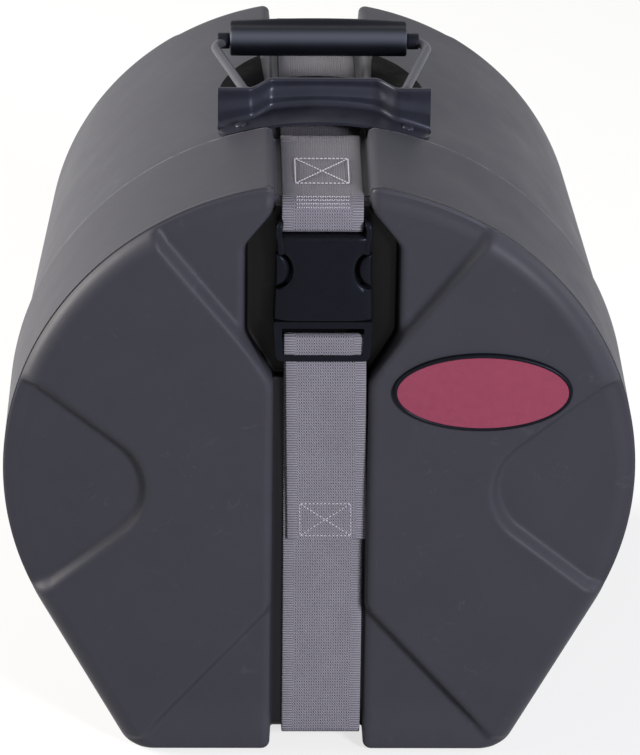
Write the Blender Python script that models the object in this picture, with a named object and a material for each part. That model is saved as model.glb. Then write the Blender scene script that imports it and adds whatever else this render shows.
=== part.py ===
"""Moulded drum case: a lid that slips over a tub, a webbing strap with a side-release buckle,
and a bail handle. Metres, +Z up, the face looks along -Y and the flat foot lies on Z = 0."""
import math

import bmesh
import bpy

# Case shells
case_depth = 0.370
lid_depth = 0.110
lid_radius = 0.2040
lid_taper = 0.0016
shoulder_step = 0.0050
base_taper = 0.0166
flank_lean = math.radians(27.8)
foot_corner = 0.020
lid_edge = 0.009
base_edge = 0.010
wall = 0.004
slip_gap = 0.0008
seat_gap = 0.0003
neck_length = 0.045
rim_gap = 0.0015
overrun = 0.030

# Relief of the two end faces: wedges sunk between raised panels
relief_depth = 0.008
relief_lip = 0.005
relief_draft = 0.003
top_wedge_height = 0.2394
top_wedge_half = math.radians(37.9)
foot_wedge_height = 0.1429
foot_wedge_half = math.radians(40.8)
side_wedge_reach = 0.0916
side_wedge_height = 0.1953
side_wedge_half = math.radians(39.5)
side_tip_radius = 0.039
narrow_tip_radius = 0.006

# Strap channel and buckle pocket
channel_half = 0.0307
channel_depth = 0.012
channel_bend = 0.008
pocket_depth = 0.0190
pocket_half = 0.0485
pocket_top_drop = 0.0170
pocket_shoulder_top_drop = 0.0380
pocket_shoulder_low_drop = 0.1090
pocket_low_drop = 0.1360

# Webbing
strap_width = 0.0508
strap_thickness = 0.0016
strap_join = 0.0003
bridge_step_share = 1 / 3
bridge_reach = 0.008
tail_length = 0.129
turn_clearance = 0.0004
tail_drop = 0.0012
return_end_drop = 0.0210

# Side-release buckle
buckle_half = 0.0305
buckle_front = 0.0035
buckle_thickness = 0.0145
female_low_drop = 0.0842
female_high_drop = 0.0345
ear_high_drop = 0.0220
ear_width = 0.0042
bar_height_drop = 0.0268
bar_radius = 0.0016
hollow_half = 0.0255
hollow_thickness = 0.0074
hollow_high_drop = 0.0390
window_low_drop = 0.0668
window_high_drop = 0.0418
window_inner = 0.0195
male_high_drop = 0.0845
male_low_drop = 0.1135
male_block = 0.0068
rail_width = 0.0030
low_bar_height = 0.0042
low_bar_thickness = 0.0030
slide_bar_height = 0.0060
slide_bar_thickness = 0.0022
slide_bar_place_drop = 0.1010
tongue_half = 0.0075
tongue_high_drop = 0.0480
tongue_thickness = 0.0040
prong_root = 0.0190
prong_width = 0.0034
prong_thickness = 0.0062
pad_inner = 0.0212
pad_outer = 0.0298
pad_low_drop = 0.0644
pad_high_drop = 0.0450
buckle_round = 0.0016

# Handle
handle_across = 0.0020
flange_gap = 0.0040
flange_depth = 0.0810
bracket_half = 0.066
flange_corner = 0.010
wall_bend_inner = 0.0465
wall_bend_outer = 0.0540
wall_side_reach = 0.006
sheet = 0.0020
ridge_place = 0.0320
ridge_depth = 0.012
ridge_half = 0.045
ridge_rise = 0.0120
ridge_crown = 0.0016
shoulder_rise = 0.0072
shoulder_lip = 0.0045
pivot_place = 0.0060
pivot_rise = 0.0010
wire_radius = 0.0030
pin_inner = 0.0385
pivot_clearance = 0.0004
arm_foot_half = 0.0530
corner_half = 0.0745
corner_bend = 0.007
foot_bend = 0.006
arm_length = 0.0880
fold_slope = math.radians(0.5)
grip_half = 0.0582
grip_radius = 0.0090
grip_bore_gap = 0.0003
grip_lip_reach = 0.0155
grip_lip_thickness = 0.0046
grip_lip_lean = math.radians(38)
collar_radius = 0.0066
collar_length = 0.0046
rivet_half_span = 0.0520
rivet_front_place = 0.0125
rivet_back_place = 0.0700
rivet_head = 0.0050
rivet_head_height = 0.0016
rivet_shank = 0.0024
rivet_seat = 0.0006
rivet_crown_share = 0.6
rivet_shoulder_share = 0.8
backing_thickness = 0.0015
backing_margin = 0.0092
backing_gap = 0.0005

# Oval plate
plate_inset = 0.1005
plate_rise = 0.0638
plate_half_width = 0.0575
plate_half_height = 0.0275
plate_thickness = 0.0032
bezel_width = 0.0036
bezel_rise = 0.0010
bezel_round_share = 0.25

# Foam and the strap's fixing at the back
liner_thickness = 0.012
liner_low_angle = math.radians(-24)
liner_high_angle = math.radians(66)
liner_front = 0.069
foam_gap = 0.0004
end_pad_thickness = 0.012
end_pad_margin = 0.006
lid_pad_thickness = 0.010
strap_rivet_spacing = 0.024
strap_rivet_place = 0.250

# Facet counts
arc_steps = 56
corner_steps = 4
edge_steps = 3
bend_steps = 4
tip_steps = 8
round_steps = 16
oval_steps = 36
bar_steps = 10
rivet_steps = 12
sharp_angle = math.radians(35)

arc_height = lid_radius
crown = arc_height + lid_radius
plate_across = lid_radius - plate_inset
plate_height = arc_height + plate_rise
flange_front = lid_depth + flange_gap
flange_back = flange_front + flange_depth
ridge_front = flange_front + ridge_place
pivot_back = ridge_front + pivot_place
rivet_front = flange_front + rivet_front_place
rivet_back = flange_front + rivet_back_place
lid_rim_radius = lid_radius - lid_taper
base_front_radius = lid_radius - shoulder_step
base_back_radius = base_front_radius - base_taper
pocket_top = crown - pocket_top_drop
pocket_shoulder_top = crown - pocket_shoulder_top_drop
pocket_shoulder_low = crown - pocket_shoulder_low_drop
pocket_low = crown - pocket_low_drop
return_end = crown - return_end_drop
female_low = crown - female_low_drop
female_high = crown - female_high_drop
ear_high = crown - ear_high_drop
bar_height = crown - bar_height_drop
hollow_high = crown - hollow_high_drop
window_low = crown - window_low_drop
window_high = crown - window_high_drop
male_high = crown - male_high_drop
male_low = crown - male_low_drop
slide_bar_place = crown - slide_bar_place_drop
tongue_high = crown - tongue_high_drop
pad_low = crown - pad_low_drop
pad_high = crown - pad_high_drop
ridge_top = crown + ridge_rise
shoulder_top = crown + shoulder_rise
pivot_height = crown + pivot_rise
neck_inner_radius = lid_rim_radius - 2 * wall - slip_gap
strap_half = strap_width / 2
rim_back = lid_depth + rim_gap
neck_front = lid_depth - neck_length
strap_inset = channel_depth - seat_gap - strap_thickness / 2


def clear_scene():
    for thing in list(bpy.data.objects):
        bpy.data.objects.remove(thing, do_unlink=True)


def make_material(name, colour, roughness, metallic=0.0):
    material = bpy.data.materials.new(name)
    material.use_nodes = True
    shader = material.node_tree.nodes["Principled BSDF"]
    shader.inputs["Base Color"].default_value = (*colour, 1.0)
    shader.inputs["Roughness"].default_value = roughness
    shader.inputs["Metallic"].default_value = metallic
    material.diffuse_color = (*colour, 1.0)
    return material


def finish_mesh(name, bm, material, origin=(0, 0, 0)):
    """Turn a bmesh built in world coordinates into an object whose origin lies at the given point."""
    bmesh.ops.recalc_face_normals(bm, faces=bm.faces)
    bmesh.ops.translate(bm, verts=bm.verts, vec=[-value for value in origin])
    mesh = bpy.data.meshes.new(name)
    bm.to_mesh(mesh)
    bm.free()
    mesh.shade_smooth()
    mesh.set_sharp_from_angle(angle=sharp_angle)
    thing = bpy.data.objects.new(name, mesh)
    thing.location = origin
    bpy.context.scene.collection.objects.link(thing)
    if material:
        mesh.materials.append(material)
    return thing


def make_cutter(name, bm):
    cutter = finish_mesh(name, bm, None)
    cutter.hide_render = True
    cutter.display_type = "WIRE"
    return cutter


def boolean(thing, other, operation="DIFFERENCE"):
    modifier = thing.modifiers.new(operation.title() + " " + other.name, "BOOLEAN")
    modifier.operation = operation
    modifier.solver = "EXACT"
    modifier.object = other


def loft(bm, rings, closed=False):
    """Skin equal rings of points; open lofts get flat end caps."""
    rows = [[bm.verts.new(point) for point in ring] for ring in rings]
    pairs = list(zip(rows, rows[1:]))
    if closed:
        pairs.append((rows[-1], rows[0]))
    for low, high in pairs:
        count = len(low)
        for index in range(count):
            after = (index + 1) % count
            bm.faces.new((low[index], low[after], high[after], high[index]))
    if not closed:
        bm.faces.new(rows[0][::-1])
        bm.faces.new(rows[-1])
    return bm


def arc(centre_x, centre_y, radius, start, end, steps):
    angles = [start + (end - start) * step / steps for step in range(steps + 1)]
    return [(centre_x + radius * math.cos(a), centre_y + radius * math.sin(a)) for a in angles]


def d_outline(radius, floor, corner):
    """Outline in X and Z: a large arc, straight leaning flanks and a flat foot with round corners."""
    drop = arc_height - floor - corner
    corner_x = (radius - corner - drop * math.sin(flank_lean)) / math.cos(flank_lean)
    points = arc(corner_x, floor + corner, corner, -math.pi / 2, -flank_lean, corner_steps)
    points += arc(0, arc_height, radius, -flank_lean, math.pi + flank_lean, arc_steps)
    points += arc(-corner_x, floor + corner, corner, math.pi + flank_lean, 1.5 * math.pi, corner_steps)
    return points


def d_ring(place, radius, floor, corner):
    return [(x, place, z) for x, z in d_outline(radius, floor, corner)]


def rounded_edge(radius):
    """Depth and inset of the points round a convex edge, from the face to the skirt."""
    angles = [math.pi / 2 * step / edge_steps for step in range(edge_steps + 1)]
    return [(radius - radius * math.sin(a), radius - radius * math.cos(a)) for a in angles][::-1]


def base_radius(place):
    share = (place - rim_back) / (case_depth - rim_back)
    return base_front_radius + (base_back_radius - base_front_radius) * share


def inner_radius(place):
    """The base's inside: straight through the neck, then tapering with the body."""
    start = rim_back + wall
    end = case_depth - base_edge
    share = max(0, min(1, (place - start) / (end - start)))
    return neck_inner_radius + (base_radius(end) - wall - neck_inner_radius) * share


def lid_outer():
    rings = []
    for depth, inset in rounded_edge(lid_edge):
        # At the face the depth is nought and the inset is the whole edge radius
        rings.append(d_ring(lid_edge - inset, lid_radius - (lid_edge - depth), lid_edge - depth,
                            foot_corner - (lid_edge - depth)))
    rings.append(d_ring(lid_depth, lid_rim_radius, 0, foot_corner))
    return rings


def lid_inner():
    edge = lid_edge - wall
    rings = []
    for depth, inset in rounded_edge(edge):
        step = wall + edge - depth
        rings.append(d_ring(wall + edge - inset, lid_radius - step, step, foot_corner - step))
    slope = (lid_radius - lid_rim_radius) / lid_depth
    rings.append(d_ring(lid_depth + overrun, lid_rim_radius - wall - slope * overrun, wall,
                        foot_corner - wall))
    return rings


def base_outer():
    """Neck, shoulder, tapering body and rounded back edge."""
    neck_radius = lid_rim_radius - wall - slip_gap
    neck_floor = wall + slip_gap
    rings = [d_ring(neck_front, neck_radius, neck_floor, foot_corner - neck_floor),
             d_ring(rim_back, neck_radius, neck_floor, foot_corner - neck_floor),
             d_ring(rim_back, base_front_radius, 0, foot_corner)]
    for depth, inset in rounded_edge(base_edge)[::-1]:
        step = base_edge - depth
        place = case_depth - base_edge + inset
        radius = base_radius(case_depth - base_edge) - step
        rings.append(d_ring(place, radius, step, foot_corner - step))
    return rings


def base_inner():
    floor = 2 * wall + slip_gap
    back = case_depth - wall
    rings = [d_ring(neck_front - overrun, neck_inner_radius, floor, foot_corner - floor),
             d_ring(rim_back + wall, neck_inner_radius, floor, foot_corner - floor)]
    edge = base_edge - wall
    for depth, inset in rounded_edge(edge)[::-1]:
        step = edge - depth
        place = back - edge + inset
        radius = base_radius(case_depth - base_edge) - wall - step
        rings.append(d_ring(place, radius, max(floor, wall + step), foot_corner - floor))
    return rings


def wedge_outline(apex, heading, half, tip_radius, reach, grow):
    """A wedge with a round tip; grow moves every side outwards."""
    radius = tip_radius + grow
    centre = tip_radius / math.sin(half)
    cx = apex[0] + centre * math.cos(heading)
    cz = apex[1] + centre * math.sin(heading)
    start = heading + math.pi / 2 + half
    end = heading + 3 * math.pi / 2 - half
    tip = arc(cx, cz, radius, start, end, tip_steps)
    far = []
    for side, point in ((-1, tip[-1]), (1, tip[0])):
        angle = heading + side * half
        far.append((point[0] + reach * math.cos(angle), point[1] + reach * math.sin(angle)))
    return tip + far


def relief_levels():
    """Depth below the face and growth of the outline, from outside to the floor."""
    levels = [(-overrun, relief_lip)]
    for step in range(edge_steps + 1):
        a = math.pi / 2 * step / edge_steps
        levels.append((relief_lip - relief_lip * math.cos(a), relief_lip - relief_lip * math.sin(a)))
    levels.append((relief_depth, -relief_draft))
    return levels


def wedges():
    """Apex, heading, half angle and tip radius of the four sunk wedges."""
    return [((0, top_wedge_height), math.pi / 2, top_wedge_half, narrow_tip_radius),
            ((0, foot_wedge_height), -math.pi / 2, foot_wedge_half, narrow_tip_radius),
            ((side_wedge_reach, side_wedge_height), 0, side_wedge_half, side_tip_radius),
            ((-side_wedge_reach, side_wedge_height), math.pi, side_wedge_half, side_tip_radius)]


def wedge_cutter(name, wedge, face, inward, levels):
    apex, heading, half, tip = wedge
    bm = bmesh.new()
    rings = []
    for depth, grow in levels:
        outline = wedge_outline(apex, heading, half, tip, lid_radius, grow)
        rings.append([(x, face + inward * depth, z) for x, z in outline])
    return make_cutter(name, loft(bm, rings))


def fillet(corners, *radii):
    """Round each inner corner of an open line of points, by one radius or by one radius each."""
    line = [corners[0]]
    radii = radii * (len(corners) - 2) if len(radii) == 1 else radii
    for before, here, after, radius in zip(corners, corners[1:], corners[2:], radii):
        ux, uz = before[0] - here[0], before[1] - here[1]
        vx, vz = after[0] - here[0], after[1] - here[1]
        lu, lv = math.hypot(ux, uz), math.hypot(vx, vz)
        ux, uz, vx, vz = ux / lu, uz / lu, vx / lv, vz / lv
        half = math.acos(max(-1, min(1, ux * vx + uz * vz))) / 2
        cut = radius / math.tan(half)
        centre = radius / math.sin(half)
        bx, bz = ux + vx, uz + vz
        lb = math.hypot(bx, bz)
        cx, cz = here[0] + bx / lb * centre, here[1] + bz / lb * centre
        start = math.atan2(here[1] + uz * cut - cz, here[0] + ux * cut - cx)
        end = math.atan2(here[1] + vz * cut - cz, here[0] + vx * cut - cx)
        turn = (end - start + math.pi) % (2 * math.pi) - math.pi
        line += arc(cx, cz, radius, start, start + turn, bend_steps)
    line.append(corners[-1])
    return line


def lid_line(inset, foot_end, top_end):
    """Line in Y and Z round the lid's foot, face and top, inset from the outer skin."""
    slope = (lid_radius - lid_rim_radius) / lid_depth
    front_top = arc_height + lid_radius - inset
    corners = [(foot_end, inset), (inset, inset), (inset, front_top),
               (top_end, front_top - slope * top_end)]
    return fillet(corners, channel_bend + channel_depth - inset)


def base_line(inset, top_end, foot_end):
    """The same round the base's top, back and foot."""
    slope = (base_front_radius - base_back_radius) / (case_depth - rim_back)
    front_top = arc_height + base_front_radius - inset
    back = case_depth - inset
    corners = [(top_end, front_top - slope * (top_end - rim_back)),
               (back, front_top - slope * (back - rim_back)), (back, inset), (foot_end, inset)]
    return fillet(corners, channel_bend + channel_depth - inset)


def band(bm, inner, outer, half, across=0):
    """A closed slab between two lines in Y and Z, as wide as twice the half."""
    rings = []
    for near, far in zip(inner, outer):
        rings.append([(across - half, *near), (across + half, *near),
                      (across + half, *far), (across - half, *far)])
    return loft(bm, rings)


def channel_cutter(name, line, ends, depth, half):
    """Everything outside the channel's floor, as wide as the channel."""
    bm = bmesh.new()
    return make_cutter(name, band(bm, line(depth, *ends), line(-overrun, *ends), half))


def pocket_outline(grow):
    """Six-sided buckle pocket; its top and foot are as wide as the channel."""
    right = [(channel_half + grow, pocket_low - grow), (pocket_half + grow, pocket_shoulder_low),
             (pocket_half + grow, pocket_shoulder_top), (channel_half + grow, pocket_top + grow)]
    return right + [(-x, z) for x, z in right[::-1]]


def pocket_cutter(name, depth, grow):
    bm = bmesh.new()
    rings = [[(x, place, z) for x, z in pocket_outline(grow)] for place in (-overrun, depth)]
    return make_cutter(name, loft(bm, rings))


def box(bm, low, high):
    rings = [[(low[0], low[1], z), (high[0], low[1], z), (high[0], high[1], z), (low[0], high[1], z)]
             for z in (low[2], high[2])]
    return loft(bm, rings)


def make_shells(moulded):
    grown = [(-overrun, wall), (relief_depth + wall, wall - relief_draft)]
    lid = finish_mesh("lid_shell", loft(bmesh.new(), lid_outer()), moulded)
    void = make_cutter("lid_void", loft(bmesh.new(), lid_inner()))
    base = finish_mesh("base_shell", loft(bmesh.new(), base_outer()), moulded)
    hollow = make_cutter("base_void", loft(bmesh.new(), base_inner()))
    for index, wedge in enumerate(wedges()):
        for shell, space, face, inward in ((lid, void, 0, 1), (base, hollow, case_depth, -1)):
            label = f"{shell.name}_wedge_{index}"
            boolean(shell, wedge_cutter(label, wedge, face, inward, relief_levels()))
            boolean(space, wedge_cutter(label + "_wall", wedge, face, inward, grown))
    lid_ends = (lid_depth + 2 * overrun, lid_depth + 2 * overrun)
    base_ends = (rim_back, rim_back)
    inner_ends = (neck_front - 2 * overrun, neck_front - 2 * overrun)
    boolean(lid, channel_cutter("lid_channel", lid_line, lid_ends, channel_depth, channel_half))
    boolean(void, channel_cutter("lid_channel_wall", lid_line, lid_ends, channel_depth + wall,
                                 channel_half + wall))
    boolean(lid, pocket_cutter("pocket", pocket_depth, 0))
    boolean(void, pocket_cutter("pocket_wall", pocket_depth + wall, wall))
    boolean(base, channel_cutter("base_channel", base_line, base_ends, channel_depth, channel_half))
    neck = lid_channel_clearance()
    boolean(base, neck)
    boolean(hollow, channel_cutter("base_channel_wall", base_line, inner_ends,
                                   channel_depth + 2 * wall + slip_gap, channel_half + 2 * wall + slip_gap))
    boolean(lid, void)
    boolean(base, hollow)
    return lid, base


def lid_channel_clearance():
    """Room in the neck for the back of the lid's channel."""
    bm = bmesh.new()
    reach = channel_depth + wall + slip_gap
    ends = (rim_back, rim_back)
    return make_cutter("neck_channel", band(bm, lid_line(reach, *ends), lid_line(-overrun, *ends),
                                            channel_half + wall + slip_gap))


def make_liners(foam):
    """Two curved foam liners that lie against the base's wall."""
    back = case_depth - base_edge - end_pad_thickness
    things = []
    for name, side in (("liner_right", 1), ("liner_left", -1)):
        rings = []
        for place in (liner_front, rim_back + wall, back):
            radius = inner_radius(place) - foam_gap
            outer = arc(0, arc_height, radius, liner_low_angle, liner_high_angle, arc_steps // 2)
            inner = arc(0, arc_height, radius - liner_thickness, liner_low_angle, liner_high_angle,
                        arc_steps // 2)
            rings.append([(side * x, place, z) for x, z in outer + inner[::-1]])
        things.append(finish_mesh(name, loft(bmesh.new(), rings), foam))
    return things


def make_end_pads(foam):
    back = case_depth - channel_depth - 2 * wall - slip_gap - foam_gap
    radius = base_radius(back) - wall - liner_thickness - end_pad_margin
    floor = channel_depth + 2 * wall + slip_gap + end_pad_margin
    rings = [d_ring(place, radius, floor, foot_corner) for place in (back - end_pad_thickness, back)]
    finish_mesh("base_pad", loft(bmesh.new(), rings), foam)
    front = pocket_depth + wall + foam_gap
    radius = lid_radius - wall - liner_thickness - end_pad_margin
    rings = [d_ring(place, radius, floor, foot_corner) for place in (front, front + lid_pad_thickness)]
    finish_mesh("lid_pad", loft(bmesh.new(), rings), foam)


def ribbon_lines(line):
    """Offset a centre line in Y and Z to both sides by half the webbing's thickness."""
    near = []
    far = []
    half = strap_thickness / 2
    for index, here in enumerate(line):
        before = line[max(index - 1, 0)]
        after = line[min(index + 1, len(line) - 1)]
        dy, dz = after[0] - before[0], after[1] - before[1]
        length = math.hypot(dy, dz)
        ny, nz = -dz / length * half, dy / length * half
        near.append((here[0] - ny, here[1] - nz))
        far.append((here[0] + ny, here[1] + nz))
    return near, far


def ribbon(name, line, material, origin=(0, 0, 0)):
    near, far = ribbon_lines(line)
    return finish_mesh(name, band(bmesh.new(), near, far, strap_half), material, origin)


def make_straps(webbing):
    """One loop of webbing, parted where the lid leaves the base and where the tail swings."""
    bridge_front = lid_depth - bridge_reach
    bridge_back = rim_back + bridge_reach
    ribbon("strap_base_run", base_line(strap_inset, bridge_back, bridge_back), webbing)
    lid_run = lid_line(strap_inset, bridge_front, bridge_front)
    base_run = base_line(strap_inset, bridge_back, bridge_back)
    ribbon("strap_top_bridge", bridge_line(lid_run[-1], base_run[0]), webbing)
    ribbon("strap_foot_bridge", [(bridge_front + strap_join, strap_inset),
                                 (bridge_back - strap_join, strap_inset)], webbing)
    turn = 2 + bend_steps
    foot = lid_run[:turn]
    crown = lid_run[turn:]
    ribbon("strap_upper_run", upper_line(crown), webbing)
    ribbon("strap_lower_run", lower_line(foot), webbing)
    top = tail_top()
    hinge = (0, top[0] - strap_thickness / 2, top[1])
    ribbon("strap_tail", [top, (top[0], top[1] - tail_length)], webbing, hinge)


def bridge_line(front, back):
    """Webbing that steps down over the lid's rim to the base's channel floor."""
    edge = lid_depth + strap_thickness
    step = bridge_reach * bridge_step_share
    slope = (base_front_radius - base_back_radius) / (case_depth - rim_back)
    return [(front[0] + strap_join, front[1]), (edge, front[1]),
            (back[0] - step, back[1] + slope * step), (back[0] - strap_join, back[1])]


def bar_centre():
    """The female half's bar, behind the webbing that lies on the channel floor's level."""
    return strap_inset + strap_thickness / 2 + turn_clearance + bar_radius, bar_height


def upper_line(crown):
    """Down in front of the bar, round under it and up behind, to the sewn end."""
    y, z = bar_centre()
    radius = bar_radius + turn_clearance + strap_thickness / 2
    turn = arc(y, z, radius, math.pi, 2 * math.pi, 2 * bend_steps)
    line = crown[::-1] + turn
    line.append((y + radius, return_end))
    return line


def slide_bar():
    """Centre of the male half's slide bar, over the run that lies on the channel floor."""
    reach = slide_bar_thickness / 2 + turn_clearance + strap_thickness / 2
    return strap_inset - reach, slide_bar_place


def lower_line(foot):
    """Up behind the slide bar, over it and down in front, to behind the low bar."""
    y, z = slide_bar()
    radius = slide_bar_thickness / 2 + turn_clearance + strap_thickness / 2
    high = z + slide_bar_height / 2
    turn = arc(y, high, radius, 0, math.pi, 2 * bend_steps)
    top = tail_top()
    return foot + turn + [(top[0], top[1] + strap_join)]


def tail_top():
    reach = slide_bar_thickness / 2 + turn_clearance + strap_thickness / 2
    return slide_bar()[0] - reach, male_low - tail_drop


def bevelled(thing, width):
    modifier = thing.modifiers.new("Rounded edges", "BEVEL")
    modifier.width = width
    modifier.segments = 2
    modifier.limit_method = "ANGLE"
    return modifier


def make_female(plastic):
    """Hollow body with side windows, open below, with two ears and a bar above."""
    y0 = buckle_front
    y1 = buckle_front + buckle_thickness
    body = finish_mesh("buckle_female", box(bmesh.new(), (-buckle_half, y0, female_low),
                                            (buckle_half, y1, ear_high)), plastic)
    bevelled(body, buckle_round)
    middle = (y0 + y1) / 2
    notch = make_cutter("ear_gap", box(bmesh.new(), (ear_width - buckle_half, y0 - overrun, female_high),
                                       (buckle_half - ear_width, y1 + overrun, ear_high + overrun)))
    boolean(body, notch)
    room_low = (-hollow_half, middle - hollow_thickness / 2, female_low - overrun)
    room_high = (hollow_half, middle + hollow_thickness / 2, hollow_high)
    hollow = make_cutter("prong_room", box(bmesh.new(), room_low, room_high))
    boolean(body, hollow)
    reach = (window_high - window_low) / 2
    for name, side in (("window_right", 1), ("window_left", -1)):
        centre_z = (window_high + window_low) / 2
        squeeze = (buckle_half - window_inner) / reach
        outline = arc(0, 0, reach, math.pi / 2, 3 * math.pi / 2, 2 * bend_steps)
        points = [(side * (buckle_half + squeeze * x), centre_z + z) for x, z in outline]
        points += [(side * (buckle_half + overrun), centre_z - reach),
                   (side * (buckle_half + overrun), centre_z + reach)]
        rings = [[(x, place, z) for x, z in points] for place in (y0 - overrun, y1 + overrun)]
        boolean(body, make_cutter(name, loft(bmesh.new(), rings)))
    bar_y, bar_z = bar_centre()
    half = buckle_half - ear_width / 2
    around = arc(0, 0, bar_radius, 0, 2 * math.pi, bar_steps)[:-1]
    rings = [[(x, bar_y + dy, bar_z + dz) for dy, dz in around] for x in (-half, half)]
    bar = make_cutter("strap_bar", loft(bmesh.new(), rings))
    boolean(body, bar, "UNION")
    return body


def make_male(plastic):
    """Frame with the webbing's window, slide bar and low bar, and the tongue that enters the body."""
    y0 = buckle_front
    y1 = buckle_front + buckle_thickness
    middle = (y0 + y1) / 2
    male = finish_mesh("buckle_male", box(bmesh.new(), (-buckle_half, y0, male_high - male_block),
                                          (buckle_half, y1, male_high)), plastic)
    low_half = buckle_half - buckle_round
    frame_back = strap_inset + strap_thickness / 2 + low_bar_thickness
    parts = []
    for side in (-1, 1):
        x0, x1 = sorted((side * low_half, side * (low_half - rail_width)))
        parts.append(((x0, y0, male_low), (x1, frame_back, male_high - male_block / 2)))
    parts.append(((rail_width / 2 - low_half, y0, male_low),
                  (low_half - rail_width / 2, y0 + low_bar_room(), male_low + low_bar_height)))
    bar_y, bar_z = slide_bar()
    bar_half = low_half - rail_width / 2
    bar_low = (-bar_half, bar_y - slide_bar_thickness / 2, bar_z - slide_bar_height / 2)
    parts.append((bar_low, (bar_half, bar_y + slide_bar_thickness / 2, bar_z + slide_bar_height / 2)))
    parts.append(((-tongue_half, middle - tongue_thickness / 2, male_high - male_block / 2),
                  (tongue_half, middle + tongue_thickness / 2, tongue_high)))
    for index, (low, high) in enumerate(parts):
        boolean(male, make_cutter(f"male_part_{index}", box(bmesh.new(), low, high)), "UNION")
    return male


def low_bar_room():
    """The low bar is as thick as the room in front of the tail allows."""
    tail_face = tail_top()[0] - strap_thickness / 2 - turn_clearance
    return min(low_bar_thickness, tail_face - buckle_front)


def make_prongs(plastic):
    """Sprung arms of the male half with finger pads that fill the body's side windows."""
    middle = buckle_front + buckle_thickness / 2
    half = prong_thickness / 2
    root_z = male_high + seat_gap
    for name, side in (("buckle_prong_right", 1), ("buckle_prong_left", -1)):
        outline = [(prong_root, root_z), (prong_root + prong_width, root_z),
                   (pad_inner + prong_width, pad_low), (pad_outer, pad_low)]
        outline += [(pad_outer - (pad_outer - pad_inner) * (1 - math.cos(a)) / 2,
                     pad_low + (pad_high - pad_low) * math.sin(a))
                    for a in [math.pi / 2 * step / bend_steps for step in range(1, bend_steps + 1)]]
        outline += [(pad_inner, pad_high - prong_width), (pad_inner, pad_low)]
        rings = [[(side * x, middle + dy, z) for x, z in outline] for dy in (-half, half)]
        finish_mesh(name, loft(bmesh.new(), rings), plastic, (side * prong_root, middle, root_z))


def top_surface(x, y):
    return arc_height + math.sqrt(base_radius(y) ** 2 - x ** 2)


def sheet_rings(places, profile):
    """Rings of a bent sheet: the profile gives Y from the place across, and Z from X and Y."""
    rings = []
    for across in places:
        x = handle_across + across
        rings.append([(x, reach(across), height(x, reach(across))) for reach, height in profile])
    return rings


def even_places(half, count):
    return [half * (2 * index / count - 1) for index in range(count + 1)]


def flange_places():
    """Places across the flange, closer together round its corners."""
    middle = even_places(bracket_half - flange_corner, 2 * tip_steps)
    turns = [math.pi / 2 * step / bend_steps for step in range(1, bend_steps + 1)]
    outer = [bracket_half - flange_corner + flange_corner * math.sin(turn) for turn in turns]
    return [-place for place in outer[::-1]] + middle + outer


def corner_trim(across):
    """How far the flange's edge draws back at a rounded corner."""
    into = max(0, abs(across) - bracket_half + flange_corner)
    return flange_corner - math.sqrt(max(0, flange_corner ** 2 - into ** 2))


def wall_places():
    middle = even_places(wall_bend_inner, tip_steps)
    outer = [wall_bend_outer, bracket_half]
    return [-place for place in outer[::-1]] + middle + outer


def wall_line(offset):
    """The wall stands further forward at its sides, with a slanting bend between."""
    def reach(across):
        share = (abs(across) - wall_bend_inner) / (wall_bend_outer - wall_bend_inner)
        return ridge_front + offset - wall_side_reach * max(0, min(1, share))
    return reach


def level(place):
    return lambda across: place


def make_bracket(steel):
    """Pressed plate that follows the case's top, with an upright wall and the bail's box on it."""
    low = seat_gap

    def on_case(rise):
        return lambda x, y: top_surface(x, y) + rise

    def front(across):
        return flange_front + corner_trim(across)

    def back(across):
        return flange_back - corner_trim(across)

    profile = [(front, on_case(low)), (back, on_case(low)),
               (back, on_case(low + sheet)), (front, on_case(low + sheet))]
    bracket = finish_mesh("handle_bracket", loft(bmesh.new(), sheet_rings(flange_places(), profile)), steel)

    def shoulder(drop):
        return lambda x, y: shoulder_top - drop - ridge_crown * ((x - handle_across) / bracket_half) ** 2

    near, far, lip = wall_line(0), wall_line(sheet), wall_line(sheet + shoulder_lip)
    profile = [(near, on_case(low + sheet / 2)), (far, on_case(low + sheet / 2)), (far, shoulder(sheet)),
               (lip, shoulder(sheet)), (lip, shoulder(0)), (near, shoulder(0))]
    wall_cutter = make_cutter("bracket_wall", loft(bmesh.new(), sheet_rings(wall_places(), profile)))
    boolean(bracket, wall_cutter, "UNION")

    def crest(drop):
        return lambda x, y: ridge_top - drop - ridge_crown * ((x - handle_across) / ridge_half) ** 2

    step = sheet / 2
    ridge_back = ridge_front + ridge_depth
    outer, inner = level(ridge_front - step), level(ridge_back)
    profile = [(outer, on_case(low + step)), (inner, on_case(low + step)), (inner, crest(step)),
               (level(ridge_back - step), crest(0)), (level(ridge_front), crest(0)), (outer, crest(step))]
    places = even_places(ridge_half, tip_steps)
    boolean(bracket, make_cutter("bail_box", loft(bmesh.new(), sheet_rings(places, profile))), "UNION")
    outer, inner = level(ridge_front + step), level(ridge_back - sheet)
    profile = [(outer, on_case(-overrun)), (inner, on_case(-overrun)),
               (inner, crest(sheet)), (outer, crest(sheet))]
    places = even_places(ridge_half - sheet, tip_steps)
    boolean(bracket, make_cutter("bail_box_room", loft(bmesh.new(), sheet_rings(places, profile))))
    bore = wire_radius + pivot_clearance
    rings = [[(x, pivot_back + dy, pivot_height + dz)
              for dy, dz in arc(0, 0, bore, 0, 2 * math.pi, round_steps)[:-1]]
             for x in (handle_across - bracket_half, handle_across + bracket_half)]
    boolean(bracket, make_cutter("pivot_bore", loft(bmesh.new(), rings)))
    for x, y in rivet_places():
        boolean(bracket, leaning_hole(f"flange_hole_{x:.2f}_{y:.2f}", x, y))
    return bracket


def rivet_places():
    across = (handle_across - rivet_half_span, handle_across + rivet_half_span)
    return [(x, y) for x in across for y in (rivet_front, rivet_back)]


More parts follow.
